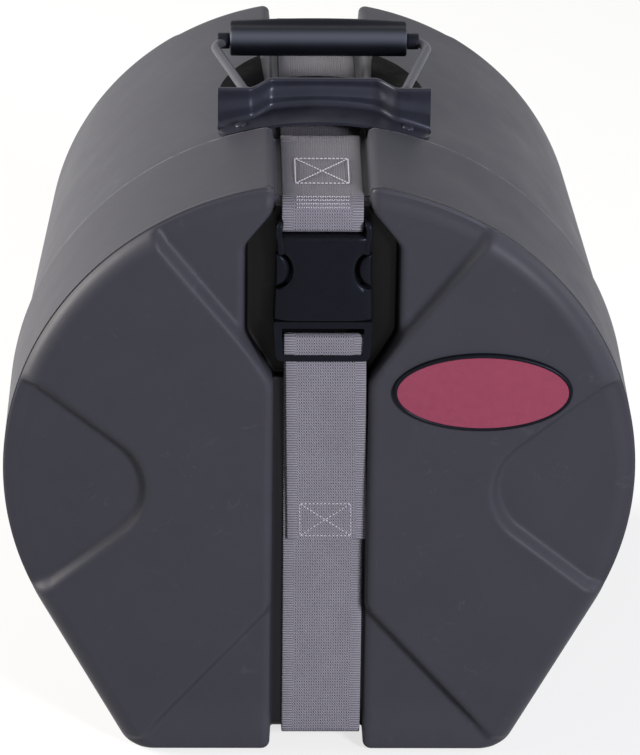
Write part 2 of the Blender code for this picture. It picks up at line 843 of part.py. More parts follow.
def make_rivets(steel, base):
    """Four domed rivets square to the curved plate, through shell and backing plates."""
    for index, (x, y) in enumerate(rivet_places()):
        lean = math.asin(x / base_radius(y))
        up = seat_gap + sheet + rivet_seat
        down = base_radius(y) - inner_radius(y) + backing_gap + rivet_seat + backing_thickness
        crown_radius = rivet_head * rivet_crown_share
        crown_height = up + rivet_head_height * rivet_shoulder_share
        profile = [(0, up + rivet_head_height), (crown_radius, crown_height), (rivet_head, up),
                   (rivet_shank, up), (rivet_shank, -down - seat_gap), (rivet_head, -down - seat_gap),
                   (crown_radius, -down - rivet_head_height), (0, -down - rivet_head_height)]
        bm = bmesh.new()
        add_turned(bm, profile, (x, y, top_surface(x, y)), lean)
        finish_mesh(f"bracket_rivet_{index + 1}", bm, steel)
        boolean(base, leaning_hole(f"shell_hole_{index}", x, y))


def add_turned(bm, profile, foot, lean):
    """Turned shape of radius and height pairs on a foot point, leaning about Y."""
    rows = []
    for radius, height in profile:
        if radius == 0:
            rows.append([bm.verts.new(placed(0, 0, height, foot, lean))])
            continue
        ring = arc(0, 0, radius, 0, 2 * math.pi, rivet_steps)[:-1]
        rows.append([bm.verts.new(placed(dx, dy, height, foot, lean)) for dx, dy in ring])
    for low, high in zip(rows, rows[1:]):
        count = max(len(low), len(high))
        for index in range(count):
            after = (index + 1) % count
            corners = [low[index % len(low)], low[after % len(low)],
                       high[after % len(high)], high[index % len(high)]]
            bm.faces.new(list(dict.fromkeys(corners)))


def placed(dx, dy, height, foot, lean):
    x = dx * math.cos(lean) + height * math.sin(lean)
    z = height * math.cos(lean) - dx * math.sin(lean)
    return foot[0] + x, foot[1] + dy, foot[2] + z


def leaning_hole(name, x, y):
    lean = math.asin(x / base_radius(y))
    bm = bmesh.new()
    radius = rivet_shank + seat_gap
    add_turned(bm, [(0, overrun), (radius, overrun), (radius, -overrun), (0, -overrun)],
               (x, y, top_surface(x, y)), lean)
    return make_cutter(name, bm)


def make_backing(steel):
    """Curved plates inside the shell, one under each pair of rivets."""
    for name, side in (("backing_plate_left", -1), ("backing_plate_right", 1)):
        rings = []
        for place in (rivet_front - backing_margin + sheet, rivet_back + backing_margin):
            radius = inner_radius(place) - backing_gap
            near = handle_across + side * (rivet_half_span - backing_margin)
            far = handle_across + side * (rivet_half_span + backing_margin)
            start = math.pi / 2 - math.asin(near / radius)
            end = math.pi / 2 - math.asin(far / radius)
            outer = arc(0, arc_height, radius, start, end, bend_steps)
            inner = arc(0, arc_height, radius - backing_thickness, start, end, bend_steps)
            rings.append([(x, place, z) for x, z in outer + inner[::-1]])
        plate = finish_mesh(name, loft(bmesh.new(), rings), steel)
        for index, (x, y) in enumerate(rivet_places()):
            if x * side > 0:
                boolean(plate, leaning_hole(f"backing_hole_{index}", x, y))


def bail_points():
    """The wire's centre line in the bail's own plane: across and along the arm."""
    right = fillet([(pin_inner, 0), (arm_foot_half, 0), (corner_half, arm_length), (0, arm_length)],
                   foot_bend, corner_bend)
    return right + [(-x, along) for x, along in right[-2::-1]]


def in_fold(along, rise):
    """Place a point of the bail's plane in the folded position."""
    y = pivot_back + along * math.cos(fold_slope) + rise * math.sin(fold_slope)
    z = pivot_height - along * math.sin(fold_slope) + rise * math.cos(fold_slope)
    return y, z


def make_bail(steel):
    curve = bpy.data.curves.new("handle_bail", "CURVE")
    curve.dimensions = "3D"
    curve.bevel_depth = wire_radius
    curve.bevel_resolution = 2
    curve.use_fill_caps = True
    spline = curve.splines.new("POLY")
    points = bail_points()
    spline.points.add(len(points) - 1)
    for point, (x, along) in zip(spline.points, points):
        y, z = in_fold(along, 0)
        point.co = (x, y - pivot_back, z - pivot_height, 1)
    curve.materials.append(steel)
    bail = bpy.data.objects.new("handle_bail", curve)
    bail.location = (handle_across, pivot_back, pivot_height)
    bpy.context.scene.collection.objects.link(bail)
    return bail


def make_grip(plastic, rubber):
    """A round grip with a finger lip along its back, bored for the wire, and two collars."""
    start = grip_lip_lean
    spread = math.asin(grip_lip_thickness / 2 / grip_radius)
    outline = arc(0, 0, grip_radius, start + spread, start + 2 * math.pi - spread, round_steps)
    lip = grip_lip_thickness / 2
    for side in (-1, 1):
        reach = grip_lip_reach - lip / 2
        outline.append((reach * math.cos(start) - side * -lip * math.sin(start),
                        reach * math.sin(start) + side * -lip * math.cos(start)))
    outline.insert(len(outline) - 1, (grip_lip_reach * math.cos(start), grip_lip_reach * math.sin(start)))
    rings = []
    for x in (-grip_half, grip_half):
        rings.append([(x, *in_fold(arm_length + dy, dz)) for dy, dz in outline])
    origin = (0, pivot_back, pivot_height)
    grip = finish_mesh("handle_grip", loft(bmesh.new(), rings), plastic, origin)
    boolean(grip, wire_bore("grip_bore", grip_half + overrun))
    for name, side in (("grip_collar_right", 1), ("grip_collar_left", -1)):
        near = grip_half + seat_gap
        ends = (side * near, side * (near + collar_length))
        rings = [[(x, *in_fold(arm_length + dy, dz))
                  for dy, dz in arc(0, 0, collar_radius, 0, 2 * math.pi, round_steps)[:-1]]
                 for x in ends]
        collar = finish_mesh(name, loft(bmesh.new(), rings), rubber, origin)
        boolean(collar, wire_bore(name + "_bore", corner_half))


def wire_bore(name, half):
    radius = wire_radius + grip_bore_gap
    rings = [[(x, *in_fold(arm_length + dy, dz))
              for dy, dz in arc(0, 0, radius, 0, 2 * math.pi, round_steps)[:-1]]
             for x in (-half, half)]
    return make_cutter(name, loft(bmesh.new(), rings))


def oval(half_width, half_height, place):
    points = arc(0, 0, 1, 0, 2 * math.pi, oval_steps)[:-1]
    return [(plate_across + x * half_width, place, plate_height + z * half_height) for x, z in points]


def make_plate(plastic, enamel):
    """Oval plate on the raised panel: a dark bezel round a slightly domed coloured face."""
    back = -seat_gap
    front = -plate_thickness
    inner_w = plate_half_width - bezel_width
    inner_h = plate_half_height - bezel_width
    rounding = bezel_width * bezel_round_share
    rings = [oval(plate_half_width, plate_half_height, back),
             oval(plate_half_width, plate_half_height, front + rounding),
             oval(plate_half_width - rounding, plate_half_height - rounding, front),
             oval(inner_w + rounding, inner_h + rounding, front),
             oval(inner_w, inner_h, front + rounding),
             oval(inner_w, inner_h, back)]
    finish_mesh("plate_bezel", loft(bmesh.new(), rings, closed=True), plastic)
    face_w = inner_w - seat_gap
    face_h = inner_h - seat_gap
    rings = [oval(face_w, face_h, back), oval(face_w, face_h, front + bezel_rise),
             oval(face_w - bezel_width, face_h - bezel_width, front + bezel_rise / 2)]
    finish_mesh("plate_face", loft(bmesh.new(), rings), enamel)


def make_strap_rivets(steel, base):
    """Two rivets that hold the webbing to the base's back wall."""
    face = case_depth - strap_inset + strap_thickness / 2
    back = case_depth - channel_depth - 2 * wall - slip_gap
    strap = bpy.data.objects["strap_base_run"]
    pad = bpy.data.objects["base_pad"]
    for name, side in (("strap_rivet_left", -1), ("strap_rivet_right", 1)):
        x = side * strap_rivet_spacing / 2
        profile = [(0, face + seat_gap + rivet_head_height), (rivet_head, face + seat_gap),
                   (rivet_shank, face + seat_gap), (rivet_shank, back - seat_gap),
                   (rivet_head, back - seat_gap), (0, back - seat_gap - rivet_head_height)]
        bm = bmesh.new()
        turned_along_y(bm, profile, x)
        finish_mesh(name, bm, steel)
        hole = bmesh.new()
        radius = rivet_shank + seat_gap
        turned_along_y(hole, [(0, case_depth + overrun), (radius, case_depth + overrun),
                              (radius, back - overrun), (0, back - overrun)], x)
        cutter = make_cutter(name + "_hole", hole)
        boolean(base, cutter)
        boolean(strap, cutter)
        room = bmesh.new()
        reach = rivet_head + seat_gap
        turned_along_y(room, [(0, case_depth), (reach, case_depth),
                              (reach, back - rivet_head_height - rivet_seat),
                              (0, back - rivet_head_height - rivet_seat)], x)
        boolean(pad, make_cutter(name + "_room", room))


def turned_along_y(bm, profile, x):
    rows = []
    for radius, place in profile:
        if radius == 0:
            rows.append([bm.verts.new((x, place, strap_rivet_place))])
            continue
        ring = arc(0, 0, radius, 0, 2 * math.pi, rivet_steps)[:-1]
        rows.append([bm.verts.new((x + dx, place, strap_rivet_place + dz)) for dx, dz in ring])
    for low, high in zip(rows, rows[1:]):
        count = max(len(low), len(high))
        for index in range(count):
            after = (index + 1) % count
            corners = [low[index % len(low)], low[after % len(low)],
                       high[after % len(high)], high[index % len(high)]]
            bm.faces.new(list(dict.fromkeys(corners)))


def main():
    clear_scene()
    moulded = make_material("moulded polyethylene", (0.055, 0.058, 0.066), 0.5)
    foam = make_material("closed-cell foam", (0.03, 0.03, 0.032), 0.9)
    webbing = make_material("grey webbing", (0.20, 0.19, 0.22), 0.8)
    plastic = make_material("black acetal", (0.015, 0.016, 0.02), 0.35)
    steel = make_material("black coated steel", (0.02, 0.022, 0.03), 0.25, 0.6)
    rubber = make_material("black rubber", (0.012, 0.012, 0.013), 0.6)
    enamel = make_material("burgundy enamel", (0.25, 0.035, 0.06), 0.35)
    lid, base = make_shells(moulded)
    make_liners(foam)
    make_end_pads(foam)
    make_straps(webbing)
    make_female(plastic)
    make_male(plastic)
    make_prongs(plastic)
    make_bracket(steel)
    make_rivets(steel, base)
    make_backing(steel)
    make_bail(steel)
    make_grip(plastic, rubber)
    make_plate(plastic, enamel)
    make_strap_rivets(steel, base)
    # The origin lies on the floor, midway between the plate's front and the back wall
    middle = (case_depth - plate_thickness) / 2
    for thing in bpy.data.objects:
        thing.location.y -= middle


main()
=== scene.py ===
# %% [markdown]
# Drum case. A moulded D-shaped case stands on its flat foot: a shallow lid slips over a deep
# tub, a strap with a side-release buckle holds them together, and a wire bail with a plastic
# grip sits on top. The imported CAD model gives every piece its place and its motion, and this
# file gives each piece its finished surface. First the frame is loaded.

# %% Load the frame
import math
import bpy
import numpy as np
from mathutils import Matrix, Vector


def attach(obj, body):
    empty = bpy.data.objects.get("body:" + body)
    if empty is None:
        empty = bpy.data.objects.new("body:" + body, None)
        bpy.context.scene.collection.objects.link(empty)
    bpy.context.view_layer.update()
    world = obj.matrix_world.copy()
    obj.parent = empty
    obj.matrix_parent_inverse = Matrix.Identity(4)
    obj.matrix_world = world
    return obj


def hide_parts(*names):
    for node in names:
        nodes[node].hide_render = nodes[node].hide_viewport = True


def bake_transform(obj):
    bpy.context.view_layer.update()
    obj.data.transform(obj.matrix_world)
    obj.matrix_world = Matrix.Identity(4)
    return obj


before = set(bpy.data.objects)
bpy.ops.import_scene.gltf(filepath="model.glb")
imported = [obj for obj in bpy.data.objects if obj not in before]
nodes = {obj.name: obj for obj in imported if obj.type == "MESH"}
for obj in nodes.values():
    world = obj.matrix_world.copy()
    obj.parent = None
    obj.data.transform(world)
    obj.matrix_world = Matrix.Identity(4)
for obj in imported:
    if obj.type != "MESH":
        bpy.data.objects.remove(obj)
scene = bpy.context.scene
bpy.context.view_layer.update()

# %% [markdown]
# The photograph was taken from in front, a little over 26 degrees above the floor, with a long
# lens. The camera's place and aim were worked out from the case's outline. Its roll is under
# one degree, and there is no lens shift, so the same camera serves every other view.

# %% Camera
image_width, image_height = 640, 755
camera_azimuth = math.radians(-1.35)
camera_elevation = math.radians(26.5)
camera_roll = math.radians(0.76)
camera_distance = 3.59022
camera_target = Vector((0.00167, -0.0834, 0.22768))
focal_pixels = 5458.48


def camera_axes():
    """Back, right and up of the camera: back points from the aim to the lens, and right and up
    are turned about it by the roll."""
    back = Vector((math.sin(camera_azimuth) * math.cos(camera_elevation),
                   -math.cos(camera_azimuth) * math.cos(camera_elevation),
                   math.sin(camera_elevation)))
    right = (-back).cross(Vector((0, 0, 1))).normalized()
    up = right.cross(-back)
    c, s = math.cos(camera_roll), math.sin(camera_roll)
    return back, right * c + up * s, up * c - right * s


def make_camera():
    data = bpy.data.cameras.new("camera")
    data.sensor_width = 36
    data.lens = focal_pixels / max(image_width, image_height) * data.sensor_width
    data.clip_start, data.clip_end = 0.1, 50
    camera = bpy.data.objects.new("camera", data)
    scene.collection.objects.link(camera)
    back, right, up = camera_axes()
    turn = Matrix((right, up, back)).transposed().to_4x4()
    camera.matrix_world = Matrix.Translation(camera_target + back * camera_distance) @ turn
    scene.camera = camera
    return camera


make_camera()
scene.view_settings.view_transform = "Standard"
print("lens in mm:", round(scene.camera.data.lens, 1))

# %% [markdown]
# A material is a small graph of nodes. Two helpers keep each graph short: one turns a colour
# written as hex into the linear light that the shader wants, and one adds any node with its
# settings and its links.

# %% Material helpers


def linear(text):
    """The sRGB colour RRGGBB as linear light: each channel c becomes ((c + 0.055) / 1.055) ^ 2.4,
    or c / 12.92 where it is very dark."""
    channels = [int(text[i:i + 2], 16) / 255 for i in (0, 2, 4)]
    return [c / 12.92 if c <= 0.04045 else ((c + 0.055) / 1.055) ** 2.4 for c in channels] + [1.0]


def add_node(tree, kind, settings=None, **links):
    """Add one node. Settings are its own properties; a link is a value for the socket of that
    name, or an output socket that is joined to it. Socket names are written with _ for a space,
    and a number after in_ picks a socket by its place."""
    node = tree.nodes.new(kind)
    for key, value in (settings or {}).items():
        setattr(node, key, value)
    for key, value in links.items():
        place = int(key[3:]) if key.startswith("in_") else key.replace("_", " ")
        socket = node.inputs[place]
        if isinstance(value, bpy.types.NodeSocket):
            tree.links.new(value, socket)
        else:
            socket.default_value = value
    return node


def new_material(name, **sockets):
    """A material with one Principled shader whose plain values are set on its own sockets."""
    material = bpy.data.materials.new(name)
    material.use_nodes = True
    tree = material.node_tree
    shader = tree.nodes["Principled BSDF"]
    for key, value in sockets.items():
        shader.inputs[key.replace("_", " ")].default_value = value
    return material, tree, shader


# %% [markdown]
# The photograph shows the case cut out on white, lit by soft light from the front right and a
# broad pale light from the left and above. The floor is pale and keeps the case's shadow. For
# the camera and in reflections it is lifted towards white, and it throws back less light than
# it shows, so that the front stays as dark as in the photograph.

# %% Floor, world and lamps


def seen(tree):
    """1 for rays that see the background: from the camera, in a reflection or through glass."""
    path = add_node(tree, "ShaderNodeLightPath").outputs
    mirrored = add_node(tree, "ShaderNodeMath", {"operation": "MAXIMUM"},
                        in_0=path["Is Glossy Ray"], in_1=path["Is Transmission Ray"])
    return add_node(tree, "ShaderNodeMath", {"operation": "MAXIMUM"},
                    in_0=path["Is Camera Ray"], in_1=mirrored.outputs[0]).outputs[0]


def make_floor():
    material, tree, shader = new_material("matt_paper_floor", Roughness=0.95)
    visible = seen(tree)
    paper = add_node(tree, "ShaderNodeMix", {"data_type": "RGBA"}, Factor=visible,
                     in_6=linear("6c6c6c"), in_7=linear("f2f2f1"))
    tree.links.new(paper.outputs[2], shader.inputs["Base Color"])
    white = add_node(tree, "ShaderNodeEmission", Color=linear("ffffff"), Strength=1.0)
    glow_share = 0.72  # the rest is lit paper, which takes the shadow
    share = add_node(tree, "ShaderNodeMath", {"operation": "MULTIPLY"}, in_0=visible, in_1=glow_share)
    mix = add_node(tree, "ShaderNodeMixShader", in_0=share.outputs[0],
                   in_1=shader.outputs[0], in_2=white.outputs[0])
    tree.links.new(mix.outputs[0], tree.nodes["Material Output"].inputs["Surface"])
    half = 30.0
    mesh = bpy.data.meshes.new("floor")
    mesh.from_pydata([(-half, -half, 0), (half, -half, 0), (half, half, 0), (-half, half, 0)],
                     [], [(0, 1, 2, 3)])
    mesh.materials.append(material)
    floor = bpy.data.objects.new("floor", mesh)
    scene.collection.objects.link(floor)


def make_world():
    """White behind the case and in reflections, and a much weaker pale sky as its light."""
    world = bpy.data.worlds.new("studio")
    world.use_nodes = True
    tree = world.node_tree
    tree.nodes["Background"].inputs["Color"].default_value = linear("f4f6f8")
    tree.nodes["Background"].inputs["Strength"].default_value = 0.14
    white = add_node(tree, "ShaderNodeBackground", Color=linear("ffffff"), Strength=1.0)
    mix = add_node(tree, "ShaderNodeMixShader", in_0=seen(tree),
                   in_1=tree.nodes["Background"].outputs[0], in_2=white.outputs[0])
    tree.links.new(mix.outputs[0], tree.nodes["World Output"].inputs["Surface"])
    scene.world = world


def make_lamp(name, place, aim, size, power, colour):
    data = bpy.data.lights.new(name, "AREA")
    data.shape = "RECTANGLE"
    data.size, data.size_y = size
    data.energy = power
    data.color = linear(colour)[:3]
    lamp = bpy.data.objects.new(name, data)
    scene.collection.objects.link(lamp)
    lamp.location = place
    lamp.rotation_mode = "QUATERNION"
    lamp.rotation_quaternion = (Vector(aim) - Vector(place)).to_track_quat("-Z", "Y")


case_middle = (0, 0, 0.2)
make_floor()
make_world()
make_lamp("key_front_right", (1.8, -2.8, 1.5), case_middle, (0.7, 0.7), 134, "f6f4ff")
make_lamp("broad_left", (-2.7, 0.4, 1.1), case_middle, (1.4, 1.6), 190, "fffaf2")
make_lamp("broad_right", (2.7, 0.5, 1.3), case_middle, (1.4, 1.6), 22, "f6f8ff")
print("lamps:", len(bpy.data.lights))

# %% [markdown]
# Every new piece is a surface worked out with numpy. A grid of points becomes a mesh in one go:
# each cell of the grid is a face between four neighbouring points. A closed ring of points may
# be joined to the next ring, and a grid may be closed in either direction.

# %% Surface helpers
MM = 0.001
to_part = -183.4  # the frame's middle lies this far behind the lid's face, in mm


def grid_faces(index, wrap_across=False, wrap_along=False):
    """Faces between neighbours of a grid of vertex numbers, counted rows by columns."""
    if wrap_along:
        index = np.concatenate([index, index[:1]], axis=0)
    if wrap_across:
        index = np.concatenate([index, index[:, :1]], axis=1)
    return np.stack([index[:-1, :-1], index[:-1, 1:], index[1:, 1:], index[1:, :-1]],
                    axis=-1).reshape(-1, 4)


def numbers(start, *shape):
    """Vertex numbers in order, as a grid of that shape."""
    return start + np.arange(int(np.prod(shape))).reshape(shape)


def xyz(x, y, z):
    """Points from three arrays or numbers that fit together."""
    return np.stack(np.broadcast_arrays(x, y, z), -1)


def signed_volume(points, faces):
    """Sum over the faces of the box product of their corners, over six: positive when the faces
    of a closed mesh look outwards."""
    corners = points[faces]
    total = 0.0
    for k in range(1, faces.shape[1] - 1):
        total += np.einsum("ij,ij->", corners[:, 0], np.cross(corners[:, k], corners[:, k + 1]))
    return total / 6


def mesh_from(name, points, faces, material, smooth_angle=None):
    """A mesh object from arrays, with its faces turned outwards. Faces of three repeat their last
    number to stay in one array, and those repeats are dropped. Points are in mm, measured back
    from the lid's face."""
    points = np.asarray(points, float).reshape(-1, 3) * MM + np.array([0, to_part * MM, 0])
    faces = np.asarray(faces)
    if signed_volume(points - points.mean(0), faces) < 0:
        faces = faces[:, ::-1]
    sides = [[v for i, v in enumerate(face) if v != face[i - 1]] for face in faces.tolist()]
    mesh = bpy.data.meshes.new(name)
    mesh.from_pydata(points.tolist(), [], sides)
    mesh.update()
    mesh.shade_smooth()
    if smooth_angle is not None:
        mesh.set_sharp_from_angle(angle=math.radians(smooth_angle))
    thing = bpy.data.objects.new(name, mesh)
    scene.collection.objects.link(thing)
    mesh.materials.append(material)
    return thing


def stands_for(thing, body, node):
    """Hide the CAD node that this piece stands for, and let the piece move with its body."""
    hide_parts(node)
    if body:
        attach(thing, body)
    return thing


def store(thing, name, values):
    """Keep one number for each point of a piece, for its material to read as an attribute."""
    layer = thing.data.attributes.new(name, "FLOAT", "POINT")
    layer.data.foreach_set("value", values.astype(np.float32))


def smooth(t):
    """The soft step 3t^2 - 2t^3 from 0 to 1."""
    t = np.clip(t, 0, 1)
    return t * t * (3 - 2 * t)


# %% [markdown]
# The case is rotomoulded polyethylene about 4 mm thick. Both shells have the same D outline: a
# round top, flanks that lean inwards and a flat foot with round corners. The outline is one
# function, so the face, the rounded edge, the skirt and the inside all share its points.

# %% The D outline
arc_height, front_radius = 204.0, 204.0
flank_lean = math.radians(27.8)
foot_corner = 20.0
wall = 4.0


def d_point(s, radius, floor, corner):
    """A point on the right half of the outline. s runs from 0 at the middle of the foot, over 1
    at the foot corner, 2 at the flank's foot and 3 at its top, to 4 at the crown."""
    s = np.asarray(s, float)
    drop = arc_height - floor - corner
    middle = (radius - corner - drop * math.sin(flank_lean)) / math.cos(flank_lean)
    turn = -math.pi / 2 + (math.pi / 2 - flank_lean) * np.clip(s - 1, 0, 1)
    bend = np.stack([middle + corner * np.cos(turn), floor + corner + corner * np.sin(turn)], -1)
    foot = np.stack([np.clip(s, 0, 1) * middle, np.full_like(s, floor)], -1)
    low = np.array([middle + corner * math.cos(flank_lean), floor + corner - corner * math.sin(flank_lean)])
    high = np.array([radius * math.cos(flank_lean), arc_height - radius * math.sin(flank_lean)])
    flank = low + (high - low) * np.clip(s - 2, 0, 1)[..., None]
    angle = -flank_lean + (math.pi / 2 + flank_lean) * np.clip(s - 3, 0, 1)
    crown = np.stack([radius * np.cos(angle), arc_height + radius * np.sin(angle)], -1)
    part = s[..., None]
    return np.where(part < 1, foot, np.where(part < 2, bend, np.where(part < 3, flank, crown)))


widest = 3 + flank_lean / (math.pi / 2 + flank_lean)
print("outline width in mm:", round(2 * d_point(widest, front_radius, 0, foot_corner)[0], 1))

# %% [markdown]
# The faces carry the relief that makes the case stiff: four wedges are sunk 8 mm between raised
# panels, and their walls slope and turn softly, because a thick moulded wall can't follow a
# sharp corner. A wedge is known by its signed distance, which the slope then turns into depth.

# %% Sunk wedges
relief_depth = 8.0
slope_in, slope_out = -4.2, 5.6  # where the wall ends, by distance from the wedge's side
slope_distance = np.linspace(slope_in, slope_out, 60)
slope_share = (slope_out - slope_distance) / (slope_out - slope_in)
slope_depth = relief_depth * (0.35 * smooth(slope_share) + 0.65 * smooth((slope_share - 0.17) / 0.66))
foot_zone, foot_loss = 40.0, 0.7
wedge_list = (  # apex across, apex height, heading, half angle, tip radius
    (0.0, 239.4, 90.0, 37.9, 6.0),
    (0.0, 142.9, -90.0, 40.8, 6.0),
    (91.6, 195.3, 0.0, 39.5, 39.0),
    (-91.6, 195.3, 180.0, 39.5, 39.0))


def wedge_distance(x, z, apex_x, apex_z, heading, half, tip):
    """Distance outside a wedge with a round tip: from its sides past the tangent points, and from
    the tip's circle before them. Negative inside."""
    h, a = math.radians(heading), math.radians(half)
    dx, dz = x - apex_x, z - apex_z
    along = dx * math.cos(h) + dz * math.sin(h)
    across = np.abs(-dx * math.sin(h) + dz * math.cos(h))
    beside = across * math.cos(a) - along * math.sin(a)
    past = along * math.cos(a) + across * math.sin(a) > tip / math.tan(a)
    round_tip = np.hypot(along - tip / math.sin(a), across) - tip
    return np.where(past, beside, round_tip)


def relief(x, z, grow=0.0):
    """Depth of the sunk wedges: a soft convex lip, a sloping wall and a soft foot, shallower
    towards the case's foot. grow moves the walls outwards, for the inside of the shell."""
    depth = np.zeros_like(x)
    for apex_x, apex_z, heading, half, tip in wedge_list:
        distance = wedge_distance(x, z, apex_x, apex_z, heading, half, tip) - grow
        depth = np.maximum(depth, np.interp(distance, slope_distance, slope_depth))
    return depth * (1 - foot_loss * smooth((foot_zone - z) / foot_zone))


print("relief at the middle of a side wedge in mm:", relief(np.array([170.0]), np.array([195.0]))[0])

# %% [markdown]
# The strap lies in a channel 12 mm deep, which widens into a six-sided pocket for the buckle.
# Grid columns follow the channel's edge, so its walls stay crisp: each column keeps its distance
# from the edge where the pocket pushes the edge outwards. Rows crowd at the pocket's ends.

# %% Columns and rows of a face
channel_half, channel_depth, channel_bend = 30.7, 12.0, 8.0
pocket_half, pocket_depth = 48.5, 19.0
pocket_low, shoulder_low, shoulder_top, pocket_top = 272.0, 303.0, 368.0, 391.0
inner_span, wall_round, lip_reach = 80.0, 5.6, 6.8


def spaced(start, end, pitch):
    """Even places from start to end, about one pitch apart."""
    return np.linspace(start, end, max(2, int(round(abs(end - start) / pitch)) + 1))


def face_columns(pitch):
    """Distances across, from the middle out to the inner span, dense on the channel's wall, whose
    columns are listed by their distance from its edge."""
    offsets = [-3.0, -1.9, -1.3, -0.9, -0.55, -0.2, 0.12, 0.5, 1.1, 1.9, 2.9, 4.0, 5.3, lip_reach]
    floor = spaced(0, channel_half - 4.5, 5.5)
    outer = spaced(channel_half + lip_reach + 2.0, inner_span, pitch)
    return np.concatenate([floor, channel_half + np.array(offsets), outer])


def face_rows(low, high, pitch, has_pocket):
    """Heights of the rows at the middle of a face, dense where the pocket ends."""
    if not has_pocket:
        return np.concatenate([[low, low + 1.2], spaced(low + 3, high - 3, pitch), [high - 1.2, high]])
    dense = np.array([-2.6, -1.6, -0.9, -0.45, 0.0, 0.45, 0.9, 1.8])
    return np.concatenate([[low, low + 1.2], spaced(low + 3, pocket_low - 4, pitch), pocket_low + dense,
                           spaced(pocket_low + 3.4, pocket_top - 4, pitch), pocket_top + dense,
                           spaced(pocket_top + 3.4, high, pitch)])


def pocket_share(z, low=pocket_low, high=pocket_top, soft=1.3):
    """1 between the pocket's two ends, with a soft step at each."""
    return smooth((z - low) / soft + 0.5) * smooth((high - z) / soft + 0.5)


def channel_edge(z, has_pocket, grow=0.0):
    """Half width of the channel at each height: the pocket pushes it outwards along two slopes,
    whose corners are rounded by a running mean."""
    if not has_pocket:
        return np.full_like(z, channel_half + grow)
    heights = np.linspace(200, 450, 1001)
    edge = np.interp(heights, [pocket_low, shoulder_low, shoulder_top, pocket_top],
                     [channel_half, pocket_half, pocket_half, channel_half])
    for _ in range(2):
        edge = np.convolve(np.pad(edge, 12, mode="edge"), np.ones(25) / 25, mode="valid")
    return np.interp(z, heights, edge) + grow


def warp(across, edge):
    """Move a column with the channel's edge: scaled inside it, kept apart from it on the wall and
    squeezed between there and the inner span."""
    near = channel_half + lip_reach
    inside = across * edge / channel_half
    beside = edge + across - channel_half
    share = (across - near) / (inner_span - near)
    beyond = edge + lip_reach + (inner_span - edge - lip_reach) * share
    return np.where(across < channel_half, inside, np.where(across < near, beside, beyond))


def wall_share(across, difference):
    """Share of the channel's depth at each column: round at the top, steep, and a small fillet at
    the floor. difference is the local depth of the channel in mm."""
    offset = across - channel_half
    difference = np.maximum(difference, wall_round + 1.5)
    into = np.clip(wall_round - offset, 0, wall_round)
    lip = (wall_round - np.sqrt(wall_round ** 2 - into ** 2)) / difference
    lip_end = wall_round / difference
    down = np.clip(-offset / 0.55, 0, 1)
    steep = lip_end + (1 - 0.9 / difference - lip_end) * down
    fillet = 1 - 0.9 / difference * (1 - np.clip((-offset - 0.55) / 1.35, 0, 1)) ** 2
    return np.where(offset > 0, lip, np.where(offset > -0.55, steep, fillet))


print("columns on half a lid:", len(face_columns(1.75)), " edge of the pocket in mm:",
      channel_edge(np.array([(shoulder_low + shoulder_top) / 2]), True))

# %% [markdown]
# Beyond the inner span the face is a Coons patch: a blend of its four sides, so the grid bends
# gently from the straight middle columns to the round outline. A shell has layers: its outer
# skin, its inner skin and, on the tub, the neck that enters the lid. A layer says how far the
# outline and the channel lie inside the outermost ones.

# %% The two shells and their layers
lid_depth, lid_edge, lid_taper = 110.0, 13.0, 1.6
case_depth, base_edge, rim_back, neck_front = 370.0, 10.0, 111.5, 65.0
base_front, base_taper = 199.0, 16.6
slip_gap = 0.8
neck_radius = front_radius - lid_taper - wall - slip_gap
body, neck = case_depth - rim_back, case_depth - neck_front  # lengths from the back face
foot_inset = 0.3  # the faces run lower at the foot, so that edge is tighter there
top_corner_angle = math.radians(30)


def lid_radius(d):
    """The lid narrows evenly behind its rounded edge. d is measured from its face."""
    return front_radius - lid_taper * np.maximum(d - lid_edge, 0) / (lid_depth - lid_edge)


def base_radius(d):
    """The tub narrows evenly towards its back face, from which d is measured."""
    return base_front - base_taper * (body - np.maximum(d, base_edge)) / body


def tub_inside(d):
    """Straight through the neck, then narrowing with the body."""
    return np.interp(d, [base_edge, body - wall], [base_radius(base_edge) - wall, neck_radius - wall])


def lid_line(d):
    """The crown's radius that the channel's floor follows on the lid, d from its face."""
    return front_radius - lid_taper * d / lid_depth


def tub_line(d):
    """The same on the tub, d from its back face."""
    return base_front - base_taper * (1 - d / body)


def skin_layer(inside, radius, line):
    """A skin that lies inside the outermost one: so much higher is its foot, deeper its channel's
    floor and wider its channel."""
    return dict(radius=radius, floor=inside, sunk=channel_depth + inside, half=channel_half + inside,
                line=line)


lid_top, base_top = arc_height + front_radius - lid_edge, arc_height + base_radius(0) - base_edge
lid = dict(edge=lid_edge, has_pocket=True, columns=face_columns(1.75), side_columns=66,
           rows=face_rows(foot_inset * lid_edge, lid_top, 1.78, True),
           layers=dict(outer=skin_layer(0.0, lid_radius, lid_line),
                       inner=skin_layer(wall, lambda d: lid_radius(d) - wall, lid_line)))
base = dict(edge=base_edge, has_pocket=False, columns=face_columns(2.6), side_columns=40,
            rows=face_rows(foot_inset * base_edge, base_top, 2.6, False),
            layers=dict(outer=skin_layer(0.0, base_radius, tub_line),
                        neck=skin_layer(wall + slip_gap, lambda d: neck_radius + 0 * d,
                                        lambda d: lid_line(case_depth - d)),
                        inner=skin_layer(2 * wall + slip_gap, tub_inside, tub_line)))
print("rows and columns of half a lid:", len(lid["rows"]), len(lid["columns"]) + lid["side_columns"])

# %% The face grid


def outline_of(shell, layer, d, inset):
    """Radius, floor and corner of a layer's outline at depth d, set in by an inset."""
    part = shell["layers"][layer]
    floor = part["floor"] + inset * (foot_inset if layer == "outer" else 1.0)
    if layer == "inner" and shell is base and d <= base_edge:
        floor = max(part["floor"], wall + inset)
    return part["radius"](d) - inset, floor, foot_corner - floor


